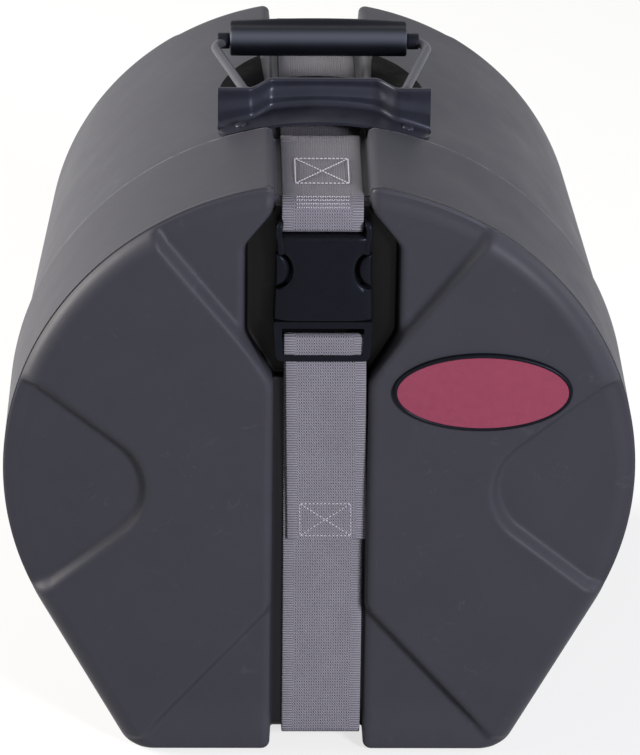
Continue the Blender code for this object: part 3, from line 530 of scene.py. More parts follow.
def face_inset(shell, layer):
    """How far inside the outline a layer's face ends: the radius of its edge."""
    return shell["edge"] - (wall if layer == "inner" else 0.0)


def border_places(shell, layer):
    """Outline parameters s of the face's border: along the foot, up the side, along the crown."""
    outline = outline_of(shell, layer, shell["edge"], face_inset(shell, layer))
    radius, floor, corner = outline
    middle = (radius - corner - (arc_height - floor - corner) * math.sin(flank_lean)) / math.cos(flank_lean)
    x = shell["columns"]
    side = np.linspace(0, 1, shell["side_columns"] + 1)[1:]
    foot = np.concatenate([x / middle, inner_span / middle + (2 - inner_span / middle) * side])
    angle = np.arccos(x / radius)
    angle = np.concatenate([angle, angle[-1] + (top_corner_angle - angle[-1]) * side])
    crown = 3 + (angle + flank_lean) / (math.pi / 2 + flank_lean)
    share = (shell["rows"] - shell["rows"][0]) / np.ptp(shell["rows"])
    s = np.linspace(2, crown[-1], 400)
    path = d_point(s, *outline)
    length = np.concatenate([[0], np.cumsum(np.hypot(*np.diff(path, axis=0).T))])
    return outline, foot, np.interp(share * length[-1], length, s), crown


def face_grid(shell, layer):
    """Right half of a face in x and z, rows by columns. The middle columns are straight but for
    the pocket's push; the rest is a Coons patch: the sum of the blends of its two pairs of
    sides, less the blend of its corners."""
    outline, foot, up, crown = border_places(shell, layer)
    x, rows = shell["columns"], shell["rows"]
    radius, floor = outline[:2]
    share = (rows - rows[0]) / np.ptp(rows)
    low = rows + (floor - rows[0]) * (1 - share)
    grow = shell["layers"][layer]["half"] - channel_half
    across = warp(x[None, :], channel_edge(low, shell["has_pocket"], grow)[:, None])
    pull = np.clip((low - 250) / (low[-1] - 250), 0, 1)[:, None] ** 4
    lowered = radius - np.sqrt(radius ** 2 - across ** 2)
    middle = np.stack([across, low[:, None] - lowered * pull], -1)
    v = share[:, None, None]
    u = np.linspace(0, 1, shell["side_columns"] + 1)[None, 1:, None]
    left, right = middle[:, -1:, :], d_point(up, *outline)[:, None, :]
    below, above = d_point(foot[len(x):], *outline)[None], d_point(crown[len(x):], *outline)[None]
    patch = ((1 - u) * left + u * right + (1 - v) * below + v * above
             - (1 - v) * ((1 - u) * left[0] + u * right[0]) - v * ((1 - u) * left[-1] + u * right[-1]))
    return np.concatenate([middle, patch], axis=1), low


# %% [markdown]
# The channel's floor is a path of its own: straight down the face, round a bend of 8 mm radius
# and back along the skirt. Every point of the skin knows where it would lie without the channel
# and where it would lie on that floor, and the wall's share says how far it moves between them.

# %% Floor of the channel


def floor_bend(part):
    """Radius of the floor's bend in a layer: less where the floor lies deeper, 1 mm at least."""
    return max(channel_depth + channel_bend - part["sunk"], 1.0)


def floor_path(shell, layer, t, border):
    """Depth and rise of the channel's floor where the skin without a channel has run t mm past
    the face's border: on the face below nought, round the edge, then along the skirt. border is
    how far inside the outline the face ends. The floor runs as far as the skin does, but for a
    stretch near the edge, where it is shorter."""
    part, edge = shell["layers"][layer], shell["edge"]
    bend = floor_bend(part)
    gap = border - part["sunk"] - bend
    skirt = edge * math.pi / 2
    turn = bend * math.pi / 2
    near, far, turned_share = 30.0, 34.0, 0.32
    run = np.interp(t, [-near, 0, skirt, skirt + far - edge],
                    [-near - gap, turned_share * turn, turn, turn + far - part["sunk"] - bend])
    beyond = turn + t - skirt + edge - part["sunk"] - bend
    run = np.where(t < -near, t - gap, np.where(t > skirt + far - edge, beyond, run))
    angle = np.clip(run / bend, 0, math.pi / 2)
    depth = part["sunk"] + bend * (1 - np.cos(angle)) + np.maximum(run - turn, 0)
    rise = np.where(run < 0, run, bend * np.sin(angle))
    return depth, rise


def floor_point(shell, layer, t, at_top):
    """Depth and height of the channel's floor, at the crown or at the foot, with the pocket."""
    part = shell["layers"][layer]
    bend = floor_bend(part)
    depth, rise = floor_path(shell, layer, t, shell["edge"])
    low_border = shell["edge"] * (foot_inset if layer == "outer" else 1.0)
    low_depth, low_rise = floor_path(shell, layer, t, low_border)
    top = arc_height + part["line"](depth) - part["sunk"] - bend + rise
    height = np.where(at_top, top, part["sunk"] + bend - low_rise)
    depth = np.where(at_top, depth, low_depth)
    if shell["has_pocket"]:
        grow = part["sunk"] - channel_depth
        share = pocket_share(height, pocket_low - grow, pocket_top + grow)
        depth = depth + (np.maximum(pocket_depth + grow, depth) - depth) * share
    return depth, height


def sink(shell, layer, points, column, t, at_top):
    """Move points (x, depth, z) towards the channel's floor by the wall's share."""
    depth, height = floor_point(shell, layer, t, at_top)
    target = xyz(points[..., 0], depth, height)
    difference = np.linalg.norm(target - points, axis=-1)
    share = wall_share(np.abs(column), difference)[..., None]
    return points + (target - points) * share


def face_layer(shell, layer):
    """Whole face of a layer as rows by columns of (x, depth, z), mirrored to the left."""
    grid, low = face_grid(shell, layer)
    grow = wall if layer == "inner" else 0.0
    depth = relief(grid[..., 0], grid[..., 1], grow) + grow
    points = xyz(grid[..., 0], depth, grid[..., 1])
    column = np.concatenate([shell["columns"], inner_span + 1.0 + np.arange(shell["side_columns"])])
    at_top = low > 200
    t = np.where(at_top, low - low[-1], low[0] - low)
    points = sink(shell, layer, points, column[None, :], t[:, None], at_top[:, None])
    left = points[:, :0:-1] * np.array([-1, 1, 1])
    return np.concatenate([left, points], axis=1)


# %% [markdown]
# Round the face's border runs one closed loop of points. The rounded edge, the skirt, the rim
# and the inside repeat that loop further back, so the whole shell is one closed surface. The
# inner face is hidden behind foam, so it keeps only some of the columns and rows, and a fan of
# triangles joins its border to the finer loop.

# %% Loops round the border
upright_half = 41.0  # columns stand upright this far out from the middle
relief_end = 11.5  # the wedges fade out over this length of the skirt


def loop_of(shell, layer):
    """Outline parameter, side and column of each point of the loop, anticlockwise from the foot."""
    _, foot, up, crown = border_places(shell, layer)
    x = np.concatenate([shell["columns"], inner_span + 1.0 + np.arange(shell["side_columns"])])
    far = np.full(len(up) - 2, x[-1])
    s = np.concatenate([foot, up[1:-1], crown[::-1]])
    column = np.concatenate([x, far, x[::-1]])
    lower = len(foot) + len(up) // 2 - 1
    at_top = np.arange(len(s)) >= lower
    whole = (np.concatenate([s, s[-2:0:-1]]), np.concatenate([column, -column[-2:0:-1]]),
             np.concatenate([np.ones(len(s)), -np.ones(len(s) - 2)]),
             np.concatenate([at_top, at_top[-2:0:-1]]))
    return whole


def border_numbers(index):
    """Vertex numbers of a face's border in the loop's order."""
    middle = index.shape[1] // 2
    return np.concatenate([index[0, middle:], index[1:-1, -1], index[-1, ::-1], index[-2:0:-1, 0],
                           index[0, :middle]])


def ring(shell, layer, d, inset, t, relief_here):
    """One loop at depth d from the face. The outline's point is kept upright above the channel's
    columns, the relief fades out along the skirt, and the channel is sunk as on the face."""
    s, column, side, at_top = loop_of(shell, layer)
    radius, floor, corner = outline_of(shell, layer, d, inset)
    half = shell["layers"][layer]["half"]
    plain = d_point(s, radius, floor, corner)
    size = np.abs(column)
    kept = np.where(size < channel_half, size * half / channel_half, size + half - channel_half)
    hold = 1 - smooth((size - upright_half) / (inner_span - upright_half))
    x = plain[:, 0] + (kept - plain[:, 0]) * hold
    crown = arc_height + np.sqrt(np.maximum(radius ** 2 - x ** 2, 0))
    z = np.where(hold > 0, np.where(at_top, crown, floor), plain[:, 1])
    depth = d + relief_here * (1 - smooth(d / relief_end))
    points = xyz(x * side, depth, z)
    return sink(shell, layer, points, column, np.full(len(s), float(t)), at_top)


def border_relief(shell, layer):
    """Depth of the sunk wedges along the face's border."""
    s, _, side, _ = loop_of(shell, layer)
    x, z = d_point(s, *outline_of(shell, layer, shell["edge"], face_inset(shell, layer))).T
    return relief(x * side, z, wall if layer == "inner" else 0.0)


def edge_rings(shell, layer, angles):
    """Loops round the rounded edge: the inset falls as 1 - sin and the depth grows as 1 - cos."""
    radius = face_inset(shell, layer)
    grow = wall if layer == "inner" else 0.0
    here = border_relief(shell, layer)
    return [ring(shell, layer, grow + radius * (1 - math.cos(angle)), radius * (1 - math.sin(angle)),
                 shell["edge"] * angle, here) for angle in angles]


def skirt_rings(shell, layer, depths, insets=0.0):
    """Loops along the skirt at the given depths, each set in by its inset."""
    start = shell["edge"] * (math.pi / 2 - 1)
    here = border_relief(shell, layer)
    insets = np.broadcast_to(insets, np.shape(depths))
    return [ring(shell, layer, d, inset, start + d, here) for d, inset in zip(depths, insets)]


# %% Close a shell


def fan_faces(fine, coarse, partner):
    """Faces between a fine loop and a coarse one: each fine point belongs to the coarse point
    whose partner on the loop is nearest, and where the owner changes the face has four corners."""
    count = len(fine)
    ends = np.concatenate([partner, [partner[0] + count]])
    middles = (ends[:-1] + ends[1:]) / 2
    owner = np.searchsorted(middles, np.arange(count) + 0.01) % len(coarse)
    after = np.roll(owner, -1)
    return np.stack([fine, np.roll(fine, -1), coarse[after], coarse[owner]], -1)


def shell_surface(shell, outer_loops, inner_loops):
    """The whole closed skin: outer face, loops out and back in, then the thinned inner face."""
    face = face_layer(shell, "outer")
    index = numbers(0, *face.shape[:2])
    parts, faces = [face.reshape(-1, 3)], [grid_faces(index)]
    count = face.shape[0] * face.shape[1]
    border = border_numbers(index)
    loops = np.array(outer_loops + inner_loops)
    rings = np.concatenate([border[None], numbers(count, *loops.shape[:2])])
    parts.append(loops.reshape(-1, 3))
    faces.append(grid_faces(rings, wrap_across=True)[:, ::-1])
    count += loops.shape[0] * loops.shape[1]
    inner = face_layer(shell, "inner")  # every fourth row and column of it, and the channel's edges
    rows, across = inner.shape[:2]
    middle = across // 2
    edge_columns = np.searchsorted(shell["columns"], [channel_half - 1.9, channel_half + 2.6])
    half = np.unique(np.concatenate([[0, 3], edge_columns, np.arange(edge_columns[1] + 3, middle - 1, 4)]))
    picked_columns = np.unique(np.concatenate([middle - half, middle + half]))
    picked_rows = np.arange(3, rows - 2, 4)
    coarse = inner[np.ix_(picked_rows, picked_columns)]
    coarse_index = numbers(count, *coarse.shape[:2])
    parts.append(coarse.reshape(-1, 3))
    faces.append(grid_faces(coarse_index)[:, ::-1])
    place = np.full((rows, across), -1)
    place.ravel()[border_numbers(numbers(0, rows, across))] = np.arange(len(border))
    r = np.concatenate([[0], picked_rows[1:-1], [rows - 1]])
    c = np.concatenate([[0], picked_columns[1:-1], [across - 1]])
    partner = place[np.ix_(r, c)].ravel()[border_numbers(numbers(0, len(r), len(c)))]
    faces.append(fan_faces(rings[-1], border_numbers(coarse_index), partner)[:, ::-1])
    return np.concatenate(parts), np.concatenate(faces)


quarter = math.pi / 2
inner_turns = quarter * np.array([0.75, 0.5, 0.25, 0.0])
rim_insets = [0.1, 0.4, 0.9]  # the rim is rounded over its last millimetre
lid_skirt = [12, 16, 20, 25, 31, 38, 46, 56, 68, 80, 92, 102, lid_depth - 2.5,
             lid_depth - 0.8, lid_depth - 0.2, lid_depth]
lid_inside = [lid_depth, lid_depth - 0.5, lid_depth - 2, 90, 60, 34, 20, 12, 9.0]
lid_points, lid_faces = shell_surface(
    lid,
    edge_rings(lid, "outer", quarter * np.array([0.14, 0.3, 0.46, 0.62, 0.8, 1.0]))
    + skirt_rings(lid, "outer", lid_skirt, [0] * 13 + rim_insets),
    skirt_rings(lid, "inner", lid_inside, [-0.8, -0.3] + [0] * 7)
    + edge_rings(lid, "inner", inner_turns))
print("lid points and faces:", lid_points.shape, lid_faces.shape,
      "volume in cm3:", round(signed_volume(lid_points, lid_faces) / 1000, 1))

# %% [markdown]
# The case's plastic is dark grey polyethylene with a slight blue cast, rotomoulded in a
# sand-blasted mould: its skin has a fine, even pebble and a soft sheen, and it carries faint
# rubs from handling. The pebble is about 0.6 mm across on the real case. It is drawn a little
# coarser, at 0.9 mm, because the finer one is lost in the render. Two attributes of the mesh tell
# the material where the lid's rim is paled, partly by rubs and partly by a painted highlight on
# its rounded edge, and where painted shade darkens the channel and the pocket.

# %% Moulded polyethylene


def object_place(tree, size_mm):
    """Place on the piece, scaled so that grains at a scale of 1 are about that many mm across."""
    place = add_node(tree, "ShaderNodeTexCoord")
    scale = 1000.0 / size_mm
    return add_node(tree, "ShaderNodeMapping", Vector=place.outputs["Object"],
                    Scale=(scale, scale, scale)).outputs[0]


# Painted reflection: a blue tint on the gloss of the black parts.
painted_blue_reflection_tint = linear("cfdaff")  # the dark studio behind the camera gives black parts a blue gloss


def moulded_polyethylene():
    material, tree, shader = new_material("rotomoulded_polyethylene", IOR=1.51, Roughness=0.5,
                                          Specular_IOR_Level=0.13)
    grain = add_node(tree, "ShaderNodeTexNoise", Vector=object_place(tree, 0.9), Scale=1.0,
                     Detail=2.0, Roughness=0.55)
    cloud = add_node(tree, "ShaderNodeTexNoise", Vector=object_place(tree, 45.0), Scale=1.0,
                     Detail=3.0, Roughness=0.6)
    rubs = add_node(tree, "ShaderNodeTexNoise", Vector=object_place(tree, 14.0), Scale=1.0,
                    Detail=6.0, Roughness=0.72, Distortion=1.4)
    rub_share = add_node(tree, "ShaderNodeMapRange", Value=rubs.outputs[0], From_Min=0.60, From_Max=0.80)
    tone = add_node(tree, "ShaderNodeMix", {"data_type": "RGBA"}, Factor=cloud.outputs[0],
                    in_6=linear("37373d"), in_7=linear("3d3d44"))
    worn = add_node(tree, "ShaderNodeMix", {"data_type": "RGBA"}, Factor=rub_share.outputs[0],
                    in_6=tone.outputs[2], in_7=linear("48484f"))
    rough = add_node(tree, "ShaderNodeMapRange", Value=cloud.outputs[0], From_Min=0.3, From_Max=0.7,
                     To_Min=0.42, To_Max=0.52)
    bump = add_node(tree, "ShaderNodeBump", Strength=0.35, Distance=0.00018, Height=grain.outputs[0])
    # The rim is paled in rubbed spots: partly real wear, partly a painted highlight on its edge.
    rim = add_node(tree, "ShaderNodeAttribute", {"attribute_name": "rim"})
    rim_scuff_and_highlight = add_node(tree, "ShaderNodeMapRange", Value=rubs.outputs[0], From_Min=0.42, From_Max=0.6)
    paling_with_painted_highlight = add_node(tree, "ShaderNodeMath", {"operation": "MULTIPLY"}, in_0=rim.outputs["Fac"],
                      in_1=rim_scuff_and_highlight.outputs[0])
    rim_wear_and_painted_highlight = add_node(tree, "ShaderNodeMix", {"data_type": "RGBA"}, Factor=paling_with_painted_highlight.outputs[0],
                        in_6=worn.outputs[2], in_7=linear("7c7b80"))
    # Painted shade: the channel and the pocket are darkened towards near black.
    painted_recess_shade = add_node(tree, "ShaderNodeAttribute", {"attribute_name": "painted_recess_shade"})
    with_painted_recess_shade = add_node(tree, "ShaderNodeMix", {"data_type": "RGBA"}, Factor=painted_recess_shade.outputs["Fac"],
                      in_6=rim_wear_and_painted_highlight.outputs[2], in_7=linear("040405"))
    tree.links.new(with_painted_recess_shade.outputs[2], shader.inputs["Base Color"])
    tree.links.new(rough.outputs[0], shader.inputs["Roughness"])
    tree.links.new(bump.outputs[0], shader.inputs["Normal"])
    return material


def mark_recess(thing, points, radius):
    """Store painted shade for the channel and the pocket, by how far each point lies down in them:
    0 at 9 mm below the skin around it, 1 at 13 mm. The crown's skin is z = 204 + sqrt(R^2 - x^2)."""
    x, y, z = points.T
    shaded, dark, margin = 9.0, 13.0, 5.0
    down = np.where(z > arc_height, radius(y) - np.hypot(x, z - arc_height), z)
    beside_pocket = (z > pocket_low - 8) & (z < pocket_top + 4)
    reach = np.where(beside_pocket, pocket_half, channel_half) + margin
    inward = np.where(np.abs(x) < reach, np.minimum(down, np.maximum(y, 0)), 0)
    store(thing, "painted_recess_shade", smooth((inward - shaded) / (dark - shaded)))


shell_plastic = moulded_polyethylene()
lid_piece = stands_for(mesh_from("lid_moulding", lid_points, lid_faces, shell_plastic),
                       "lid", "lid_shell")
mark_recess(lid_piece, lid_points, lid_radius)
# Marks the rim's last millimetre, paled by rubs and by a painted highlight.
store(lid_piece, "rim", lid_points[:, 1] > lid_depth - 1.0)

tub_skirt = [13, 17, 22, 28, 36, 50, 70, 100, 130, 160, 190, 215, 238, 252, body - 0.8, body - 0.2, body]
tub_neck = [body, body + 1.5, body + 13, body + 26, body + 38, neck - 1.4, neck - 0.4, neck]
tub_within = [neck, neck - 0.5, neck - 2, 282, body - wall, 210, 160, 110, 60, 34, 22, base_edge]
base_points, base_faces = shell_surface(
    base,
    edge_rings(base, "outer", quarter * np.array([0.16, 0.34, 0.52, 0.68, 0.84, 1.0]))
    + skirt_rings(base, "outer", tub_skirt, [0] * 14 + rim_insets)
    + skirt_rings(base, "neck", tub_neck, [0] * 5 + [0.1, 0.4, 1.0]),
    skirt_rings(base, "inner", tub_within, [-0.9, -0.3] + [0] * 10)
    + edge_rings(base, "inner", inner_turns))
base_points[:, 1] = case_depth - base_points[:, 1]
base_piece = stands_for(mesh_from("tub_moulding", base_points, base_faces, shell_plastic),
                        "base", "base_shell")
for piece in (lid_piece, base_piece):
    print(piece.name, "triangles:", sum(len(p.vertices) - 2 for p in piece.data.polygons),
          "size in mm:", [round(v * 1000, 1) for v in piece.dimensions])

# %% [markdown]
# The strap is 2 inch polypropylene webbing. Its body is woven with fine ribs along its length and
# its two borders show the filling yarn as short ribs across. The weave follows the strap round
# every bend, so the pattern reads a UV map that holds millimetres across and along. The real
# yarns are about 1 mm apart; they are drawn at 1.5 to 2 mm so that they show in the render. The
# run that faces upwards is darkened by painted shade.

# %% Webbing material


def wave(tree, value, pitch_mm, phase=0.0):
    """sin(2 pi value / pitch) as two math nodes."""
    turn = add_node(tree, "ShaderNodeMath", {"operation": "MULTIPLY_ADD"}, in_0=value,
                    in_1=2 * math.pi / pitch_mm, in_2=phase)
    return add_node(tree, "ShaderNodeMath", {"operation": "SINE"}, in_0=turn.outputs[0]).outputs[0]


def woven_polypropylene():
    material, tree, shader = new_material("woven_polypropylene_webbing", IOR=1.49, Roughness=0.72,
                                          Specular_IOR_Level=0.2, Sheen_Weight=0.06, Sheen_Roughness=0.5)
    uv = add_node(tree, "ShaderNodeUVMap", {"uv_map": "webbing"})
    parts = add_node(tree, "ShaderNodeSeparateXYZ", Vector=uv.outputs[0])
    across, along = parts.outputs[0], parts.outputs[1]
    size = add_node(tree, "ShaderNodeMath", {"operation": "ABSOLUTE"}, in_0=across)
    border = add_node(tree, "ShaderNodeMapRange", {"interpolation_type": "SMOOTHSTEP"},
                      Value=size.outputs[0], From_Min=18.2, From_Max=19.4)
    ribs = wave(tree, along, 1.75)
    lengthwise, crosswise = wave(tree, across, 1.55), wave(tree, along, 2.1, 0.8)
    weave = add_node(tree, "ShaderNodeMath", {"operation": "MULTIPLY"}, in_0=lengthwise, in_1=crosswise)
    mixed = add_node(tree, "ShaderNodeMath", {"operation": "MULTIPLY_ADD"}, in_0=lengthwise, in_1=0.45,
                     in_2=weave.outputs[0])
    height = add_node(tree, "ShaderNodeMix", {"data_type": "FLOAT"}, in_0=border.outputs[0],
                      in_2=mixed.outputs[0], in_3=ribs)
    fuzz = add_node(tree, "ShaderNodeTexNoise", Vector=object_place(tree, 1.4), Scale=1.0,
                    Detail=4.0, Roughness=0.7)
    soil = add_node(tree, "ShaderNodeTexNoise", Vector=object_place(tree, 22.0), Scale=1.0,
                    Detail=4.0, Roughness=0.6)
    # Painted shade: the weave's low places are coloured darker; the fuzz mixes in light and dark yarns.
    shade = add_node(tree, "ShaderNodeMapRange", Value=height.outputs[0], From_Min=-1.3, From_Max=1.3,
                     To_Min=-0.1, To_Max=0.9)
    yarn = add_node(tree, "ShaderNodeMath", {"operation": "MULTIPLY_ADD"}, in_0=fuzz.outputs[0], in_1=0.5,
                    in_2=shade.outputs[0])
    dark_to_light = add_node(tree, "ShaderNodeMix", {"data_type": "RGBA"}, Factor=yarn.outputs[0],
                             in_6=linear("3f3e45"), in_7=linear("a5a3ab"))
    worn = add_node(tree, "ShaderNodeMix", {"data_type": "RGBA"}, Factor=soil.outputs[0],
                    in_6=dark_to_light.outputs[2], in_7=linear("7b7980"))
    # Painted shade: faces that point upwards are darkened towards 2e2d31.
    geometry = add_node(tree, "ShaderNodeNewGeometry")
    facing = add_node(tree, "ShaderNodeSeparateXYZ", Vector=geometry.outputs["Normal"])
    upward = add_node(tree, "ShaderNodeMapRange", Value=facing.outputs[2], From_Min=0.1, From_Max=0.9,
                      To_Min=0.0, To_Max=0.4)
    painted_top_shade = add_node(tree, "ShaderNodeMix", {"data_type": "RGBA"}, Factor=upward.outputs[0],
                      in_6=worn.outputs[2], in_7=linear("2e2d31"))
    bump = add_node(tree, "ShaderNodeBump", Strength=0.9, Distance=0.0003, Height=height.outputs[0])
    tree.links.new(painted_top_shade.outputs[2], shader.inputs["Base Color"])
    tree.links.new(bump.outputs[0], shader.inputs["Normal"])
    return material


webbing = woven_polypropylene()
print("webbing nodes:", len(webbing.node_tree.nodes))

# %% [markdown]
# Each run of the strap is one flat section carried along a line. The section is 51.6 mm by
# 1.6 mm with rounded borders; the line runs along the channel's floor, round the bends and
# round the buckle's two bars. The buckle, its bars and the tail lie some millimetres lower than
# in the CAD model, where the photograph shows them.

# %% Lines and ribbons
strap_half, strap_thickness, strap_inset = 25.8, 1.6, 10.9


def filleted(corners, radius, pitch=2.0):
    """A line through corners, each inner corner rounded: the arc touches both sides at
    radius / tan(half the corner's angle) from the corner. Resampled at an even pitch."""
    corners = np.asarray(corners, float)
    radii = np.broadcast_to(radius, len(corners) - 2)
    line = [corners[:1]]
    for before, here, after, radius in zip(corners, corners[1:], corners[2:], radii):
        u = (before - here) / np.linalg.norm(before - here)
        v = (after - here) / np.linalg.norm(after - here)
        half = math.acos(np.clip(u @ v, -1, 1)) / 2
        middle = here + (u + v) / np.linalg.norm(u + v) * radius / math.sin(half)
        first = here + u * radius / math.tan(half) - middle
        last = here + v * radius / math.tan(half) - middle
        a, b = math.atan2(first[1], first[0]), math.atan2(last[1], last[0])
        turn = (b - a + math.pi) % (2 * math.pi) - math.pi
        t = a + turn * np.linspace(0, 1, 17)
        line.append(middle + radius * np.stack([np.cos(t), np.sin(t)], -1))
    return even(np.concatenate(line + [corners[-1:]]), pitch)


def run_length(line):
    """How far along the line each of its points lies."""
    return np.concatenate([[0], np.cumsum(np.linalg.norm(np.diff(line, axis=0), axis=1))])


def even(line, pitch):
    """The line's points, with more put in so that none are further apart than the pitch."""
    length = run_length(line)
    keep = np.concatenate([[True], np.diff(length) > 1e-6])
    line, length = line[keep], length[keep]
    places = []
    for a, b in zip(length, length[1:]):
        count = max(2, int(np.ceil((b - a) / pitch)) + 1)
        places.append(np.linspace(a, b, count)[:-1])
    places = np.concatenate(places + [length[-1:]])
    return np.stack([np.interp(places, length, line[:, k]) for k in range(line.shape[1])], -1)


def flat_section(half, thickness, count=11):
    """Closed section, anticlockwise: a flat band whose two borders are half circles."""
    r = thickness / 2
    turn = np.linspace(-math.pi / 2, math.pi / 2, 5)
    right = np.stack([half - r + r * np.cos(turn), r * np.sin(turn)], -1)
    inner = np.linspace(half - r, r - half, count)[1:-1]
    top = np.stack([inner, np.full_like(inner, r)], -1)
    return np.concatenate([right, top, -right, -top])


def cap_faces(ring):
    """A convex ring of an even count, filled like a ladder: its rungs join the points that are
    equally far from the ring's start."""
    n = len(ring)
    i = np.arange(n // 2)
    front, back = ring[i], ring[n - 1 - i]
    return np.stack([front[:-1], front[1:], back[1:], back[:-1]], -1)


def tube_faces(rows, around):
    """Faces of a closed-round grid with both its ends filled."""
    index = numbers(0, rows, around)
    return np.concatenate([grid_faces(index, wrap_across=True), cap_faces(index[0])[:, ::-1],
                           cap_faces(index[-1])])


def set_uv(thing, uv, name):
    """Give each corner of each face the UV of its point."""
    layer = thing.data.uv_layers.new(name=name)
    corner = np.empty(len(thing.data.loops), np.int32)
    thing.data.loops.foreach_get("vertex_index", corner)
    layer.data.foreach_set("uv", uv.reshape(-1, 2)[corner].astype(np.float32).ravel())


def make_ribbon(name, line, shift):
    """Carry the strap's section along the line, moved sideways by the shift. The section's first
    axis is X; its second is the line's normal in y and z, which is the running direction turned
    by a quarter. The UV is in mm, across and along."""
    across, out = flat_section(strap_half, strap_thickness).T
    run = np.gradient(line, axis=0)
    run /= np.linalg.norm(run, axis=1, keepdims=True)
    normal = np.stack([run[:, 1], -run[:, 0]], -1)
    x = np.broadcast_to(shift, len(line))[:, None] + across
    yz = line[:, None] + normal[:, None] * out[:, None]
    points = np.concatenate([x[..., None], yz], -1)
    thing = mesh_from(name, points, tube_faces(*points.shape[:2]), webbing, smooth_angle=50)
    uv = np.stack(np.broadcast_arrays(across, run_length(line)[:, None]), -1)
    set_uv(thing, uv, "webbing")
    return thing


# %% [markdown]
# The strap has six stretches, as in the CAD model: one on the tub, one over the rim at the top
# and one at the foot, the upper run with its sewn loop round the buckle's bar, the lower run up
# to the slide bar, and the loose tail. The two stretches over the rim are attached to no body.

# %% Six stretches of strap
bridge_reach, lid_slope, tub_slope = 8.0, lid_taper / lid_depth, base_taper / body
bend_here = channel_depth + channel_bend - strap_inset
foot_line, foot_bend = 9.6, 5.0
crown_in = arc_height + front_radius - strap_inset
bridge_front, bridge_back = lid_depth - bridge_reach, rim_back + bridge_reach
tub_top = arc_height + base_front - strap_inset
bar_radius, slide_half = 1.6, 1.1  # the buckle's round bar and its slide bar
bar_gap = 0.4  # between a bar and the webbing round it
turn_radius = bar_radius + bar_gap + strap_thickness / 2
slide_turn = slide_half + bar_gap + strap_thickness / 2
bar_y, bar_z, loop_end = strap_inset + turn_radius, 377.6, 384.0
slide_y, slide_z, slide_rise = strap_inset - slide_turn, 298.6, 3.0
tail_y, tail_z, tail_length, tail_press = slide_y - slide_turn, 286.0, 129.3, 2.3


def half_turn(y, z, radius, start, end, steps=14):
    """y + r cos t and z + r sin t, with t between two angles."""
    t = np.linspace(start, end, steps + 1)
    return np.stack([y + radius * np.cos(t), z + radius * np.sin(t)], -1)


def tail_drift(s):
    """The loose tail hangs a little to the right of the run behind it."""
    return 3.0 + 2.2 * s


def tail_depth(s):
    """How deep the tail's line lies, s being 0 at its root and 1 at its end: it sinks back
    towards the run behind it."""
    return tail_y + tail_press * smooth(s * 1.1)


def lower_drift(line):
    """The lower run lies up to 3 mm to the right of the channel's middle, less under the rim."""
    length = run_length(line)
    return np.interp(length, [0, 85, 150, 330, length[-1]], [0, 2.9, 2.9, 2.3, 1.8])


def make_straps():
    """Each stretch is a line in y and z, listed with its shift, its node and its body."""
    pitch, bridge_pitch, apart = 1.5, 0.8, 0.3
    back_in = case_depth - strap_inset
    tub = filleted([(bridge_back, tub_top - tub_slope * bridge_reach),
                    (back_in, tub_top - tub_slope * (back_in - rim_back)),
                    (back_in, foot_line), (bridge_back, foot_line)], [bend_here, foot_bend])
    upper = filleted([(bridge_front, crown_in - lid_slope * bridge_front), (strap_inset, crown_in),
                      (strap_inset, bar_z)], bend_here)
    loop = half_turn(bar_y, bar_z, turn_radius, math.pi, 2 * math.pi)
    upper = even(np.concatenate([upper, loop[1:], [[bar_y + turn_radius, loop_end]]]), pitch)
    high = slide_z + slide_rise
    lower = filleted([(bridge_front, foot_line), (strap_inset, foot_line), (strap_inset, high)], foot_bend)
    over = half_turn(slide_y, high, slide_turn, 0, math.pi)
    lower = even(np.concatenate([lower, over[1:], [[tail_y, tail_z + apart]]]), pitch)
    s = np.linspace(0, 1, 90)
    tail = np.stack([tail_depth(s), tail_z - tail_length * s], -1)
    front_end, back_start = upper[0], tub[0]
    over_lid, over_tub = lid_depth + 1.6, 2.7  # where the stretch over the rim bends
    bridge = even(np.array([front_end + [apart, 0], [over_lid, front_end[1]],
                            back_start + [-over_tub, tub_slope * over_tub],
                            back_start - [apart, 0]]), bridge_pitch)
    foot = even(np.array([[bridge_front + apart, foot_line], [bridge_back - apart, foot_line]]),
                bridge_pitch)
    runs = [("strap_on_tub", tub, 0, "strap_base_run", "base"),
            ("strap_upper", upper, 0, "strap_upper_run", "lid"),
            ("strap_lower", lower, lower_drift(lower), "strap_lower_run", "lid"),
            ("strap_loose_tail", tail, tail_drift(s), "strap_tail", None),
            ("strap_over_rim_top", bridge, 0, "strap_top_bridge", None),
            ("strap_over_rim_foot", foot, 0, "strap_foot_bridge", None)]
    for name, line, shift, node, body_name in runs:
        thing = make_ribbon(name, line, shift)
        stands_for(thing, body_name, node)
        if name == "strap_loose_tail":
            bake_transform(thing)
        elif body_name is None:
            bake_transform(thing)
        print(name, "length in mm:", round(float(run_length(line)[-1]), 1))


make_straps()

# %% [markdown]
# The buckle is acetal: nearly black, smooth, with a soft gloss that shows as pale lines along
# every rounded edge. Its faces have a very fine sand texture, and finer scratches catch light.

# %% Acetal


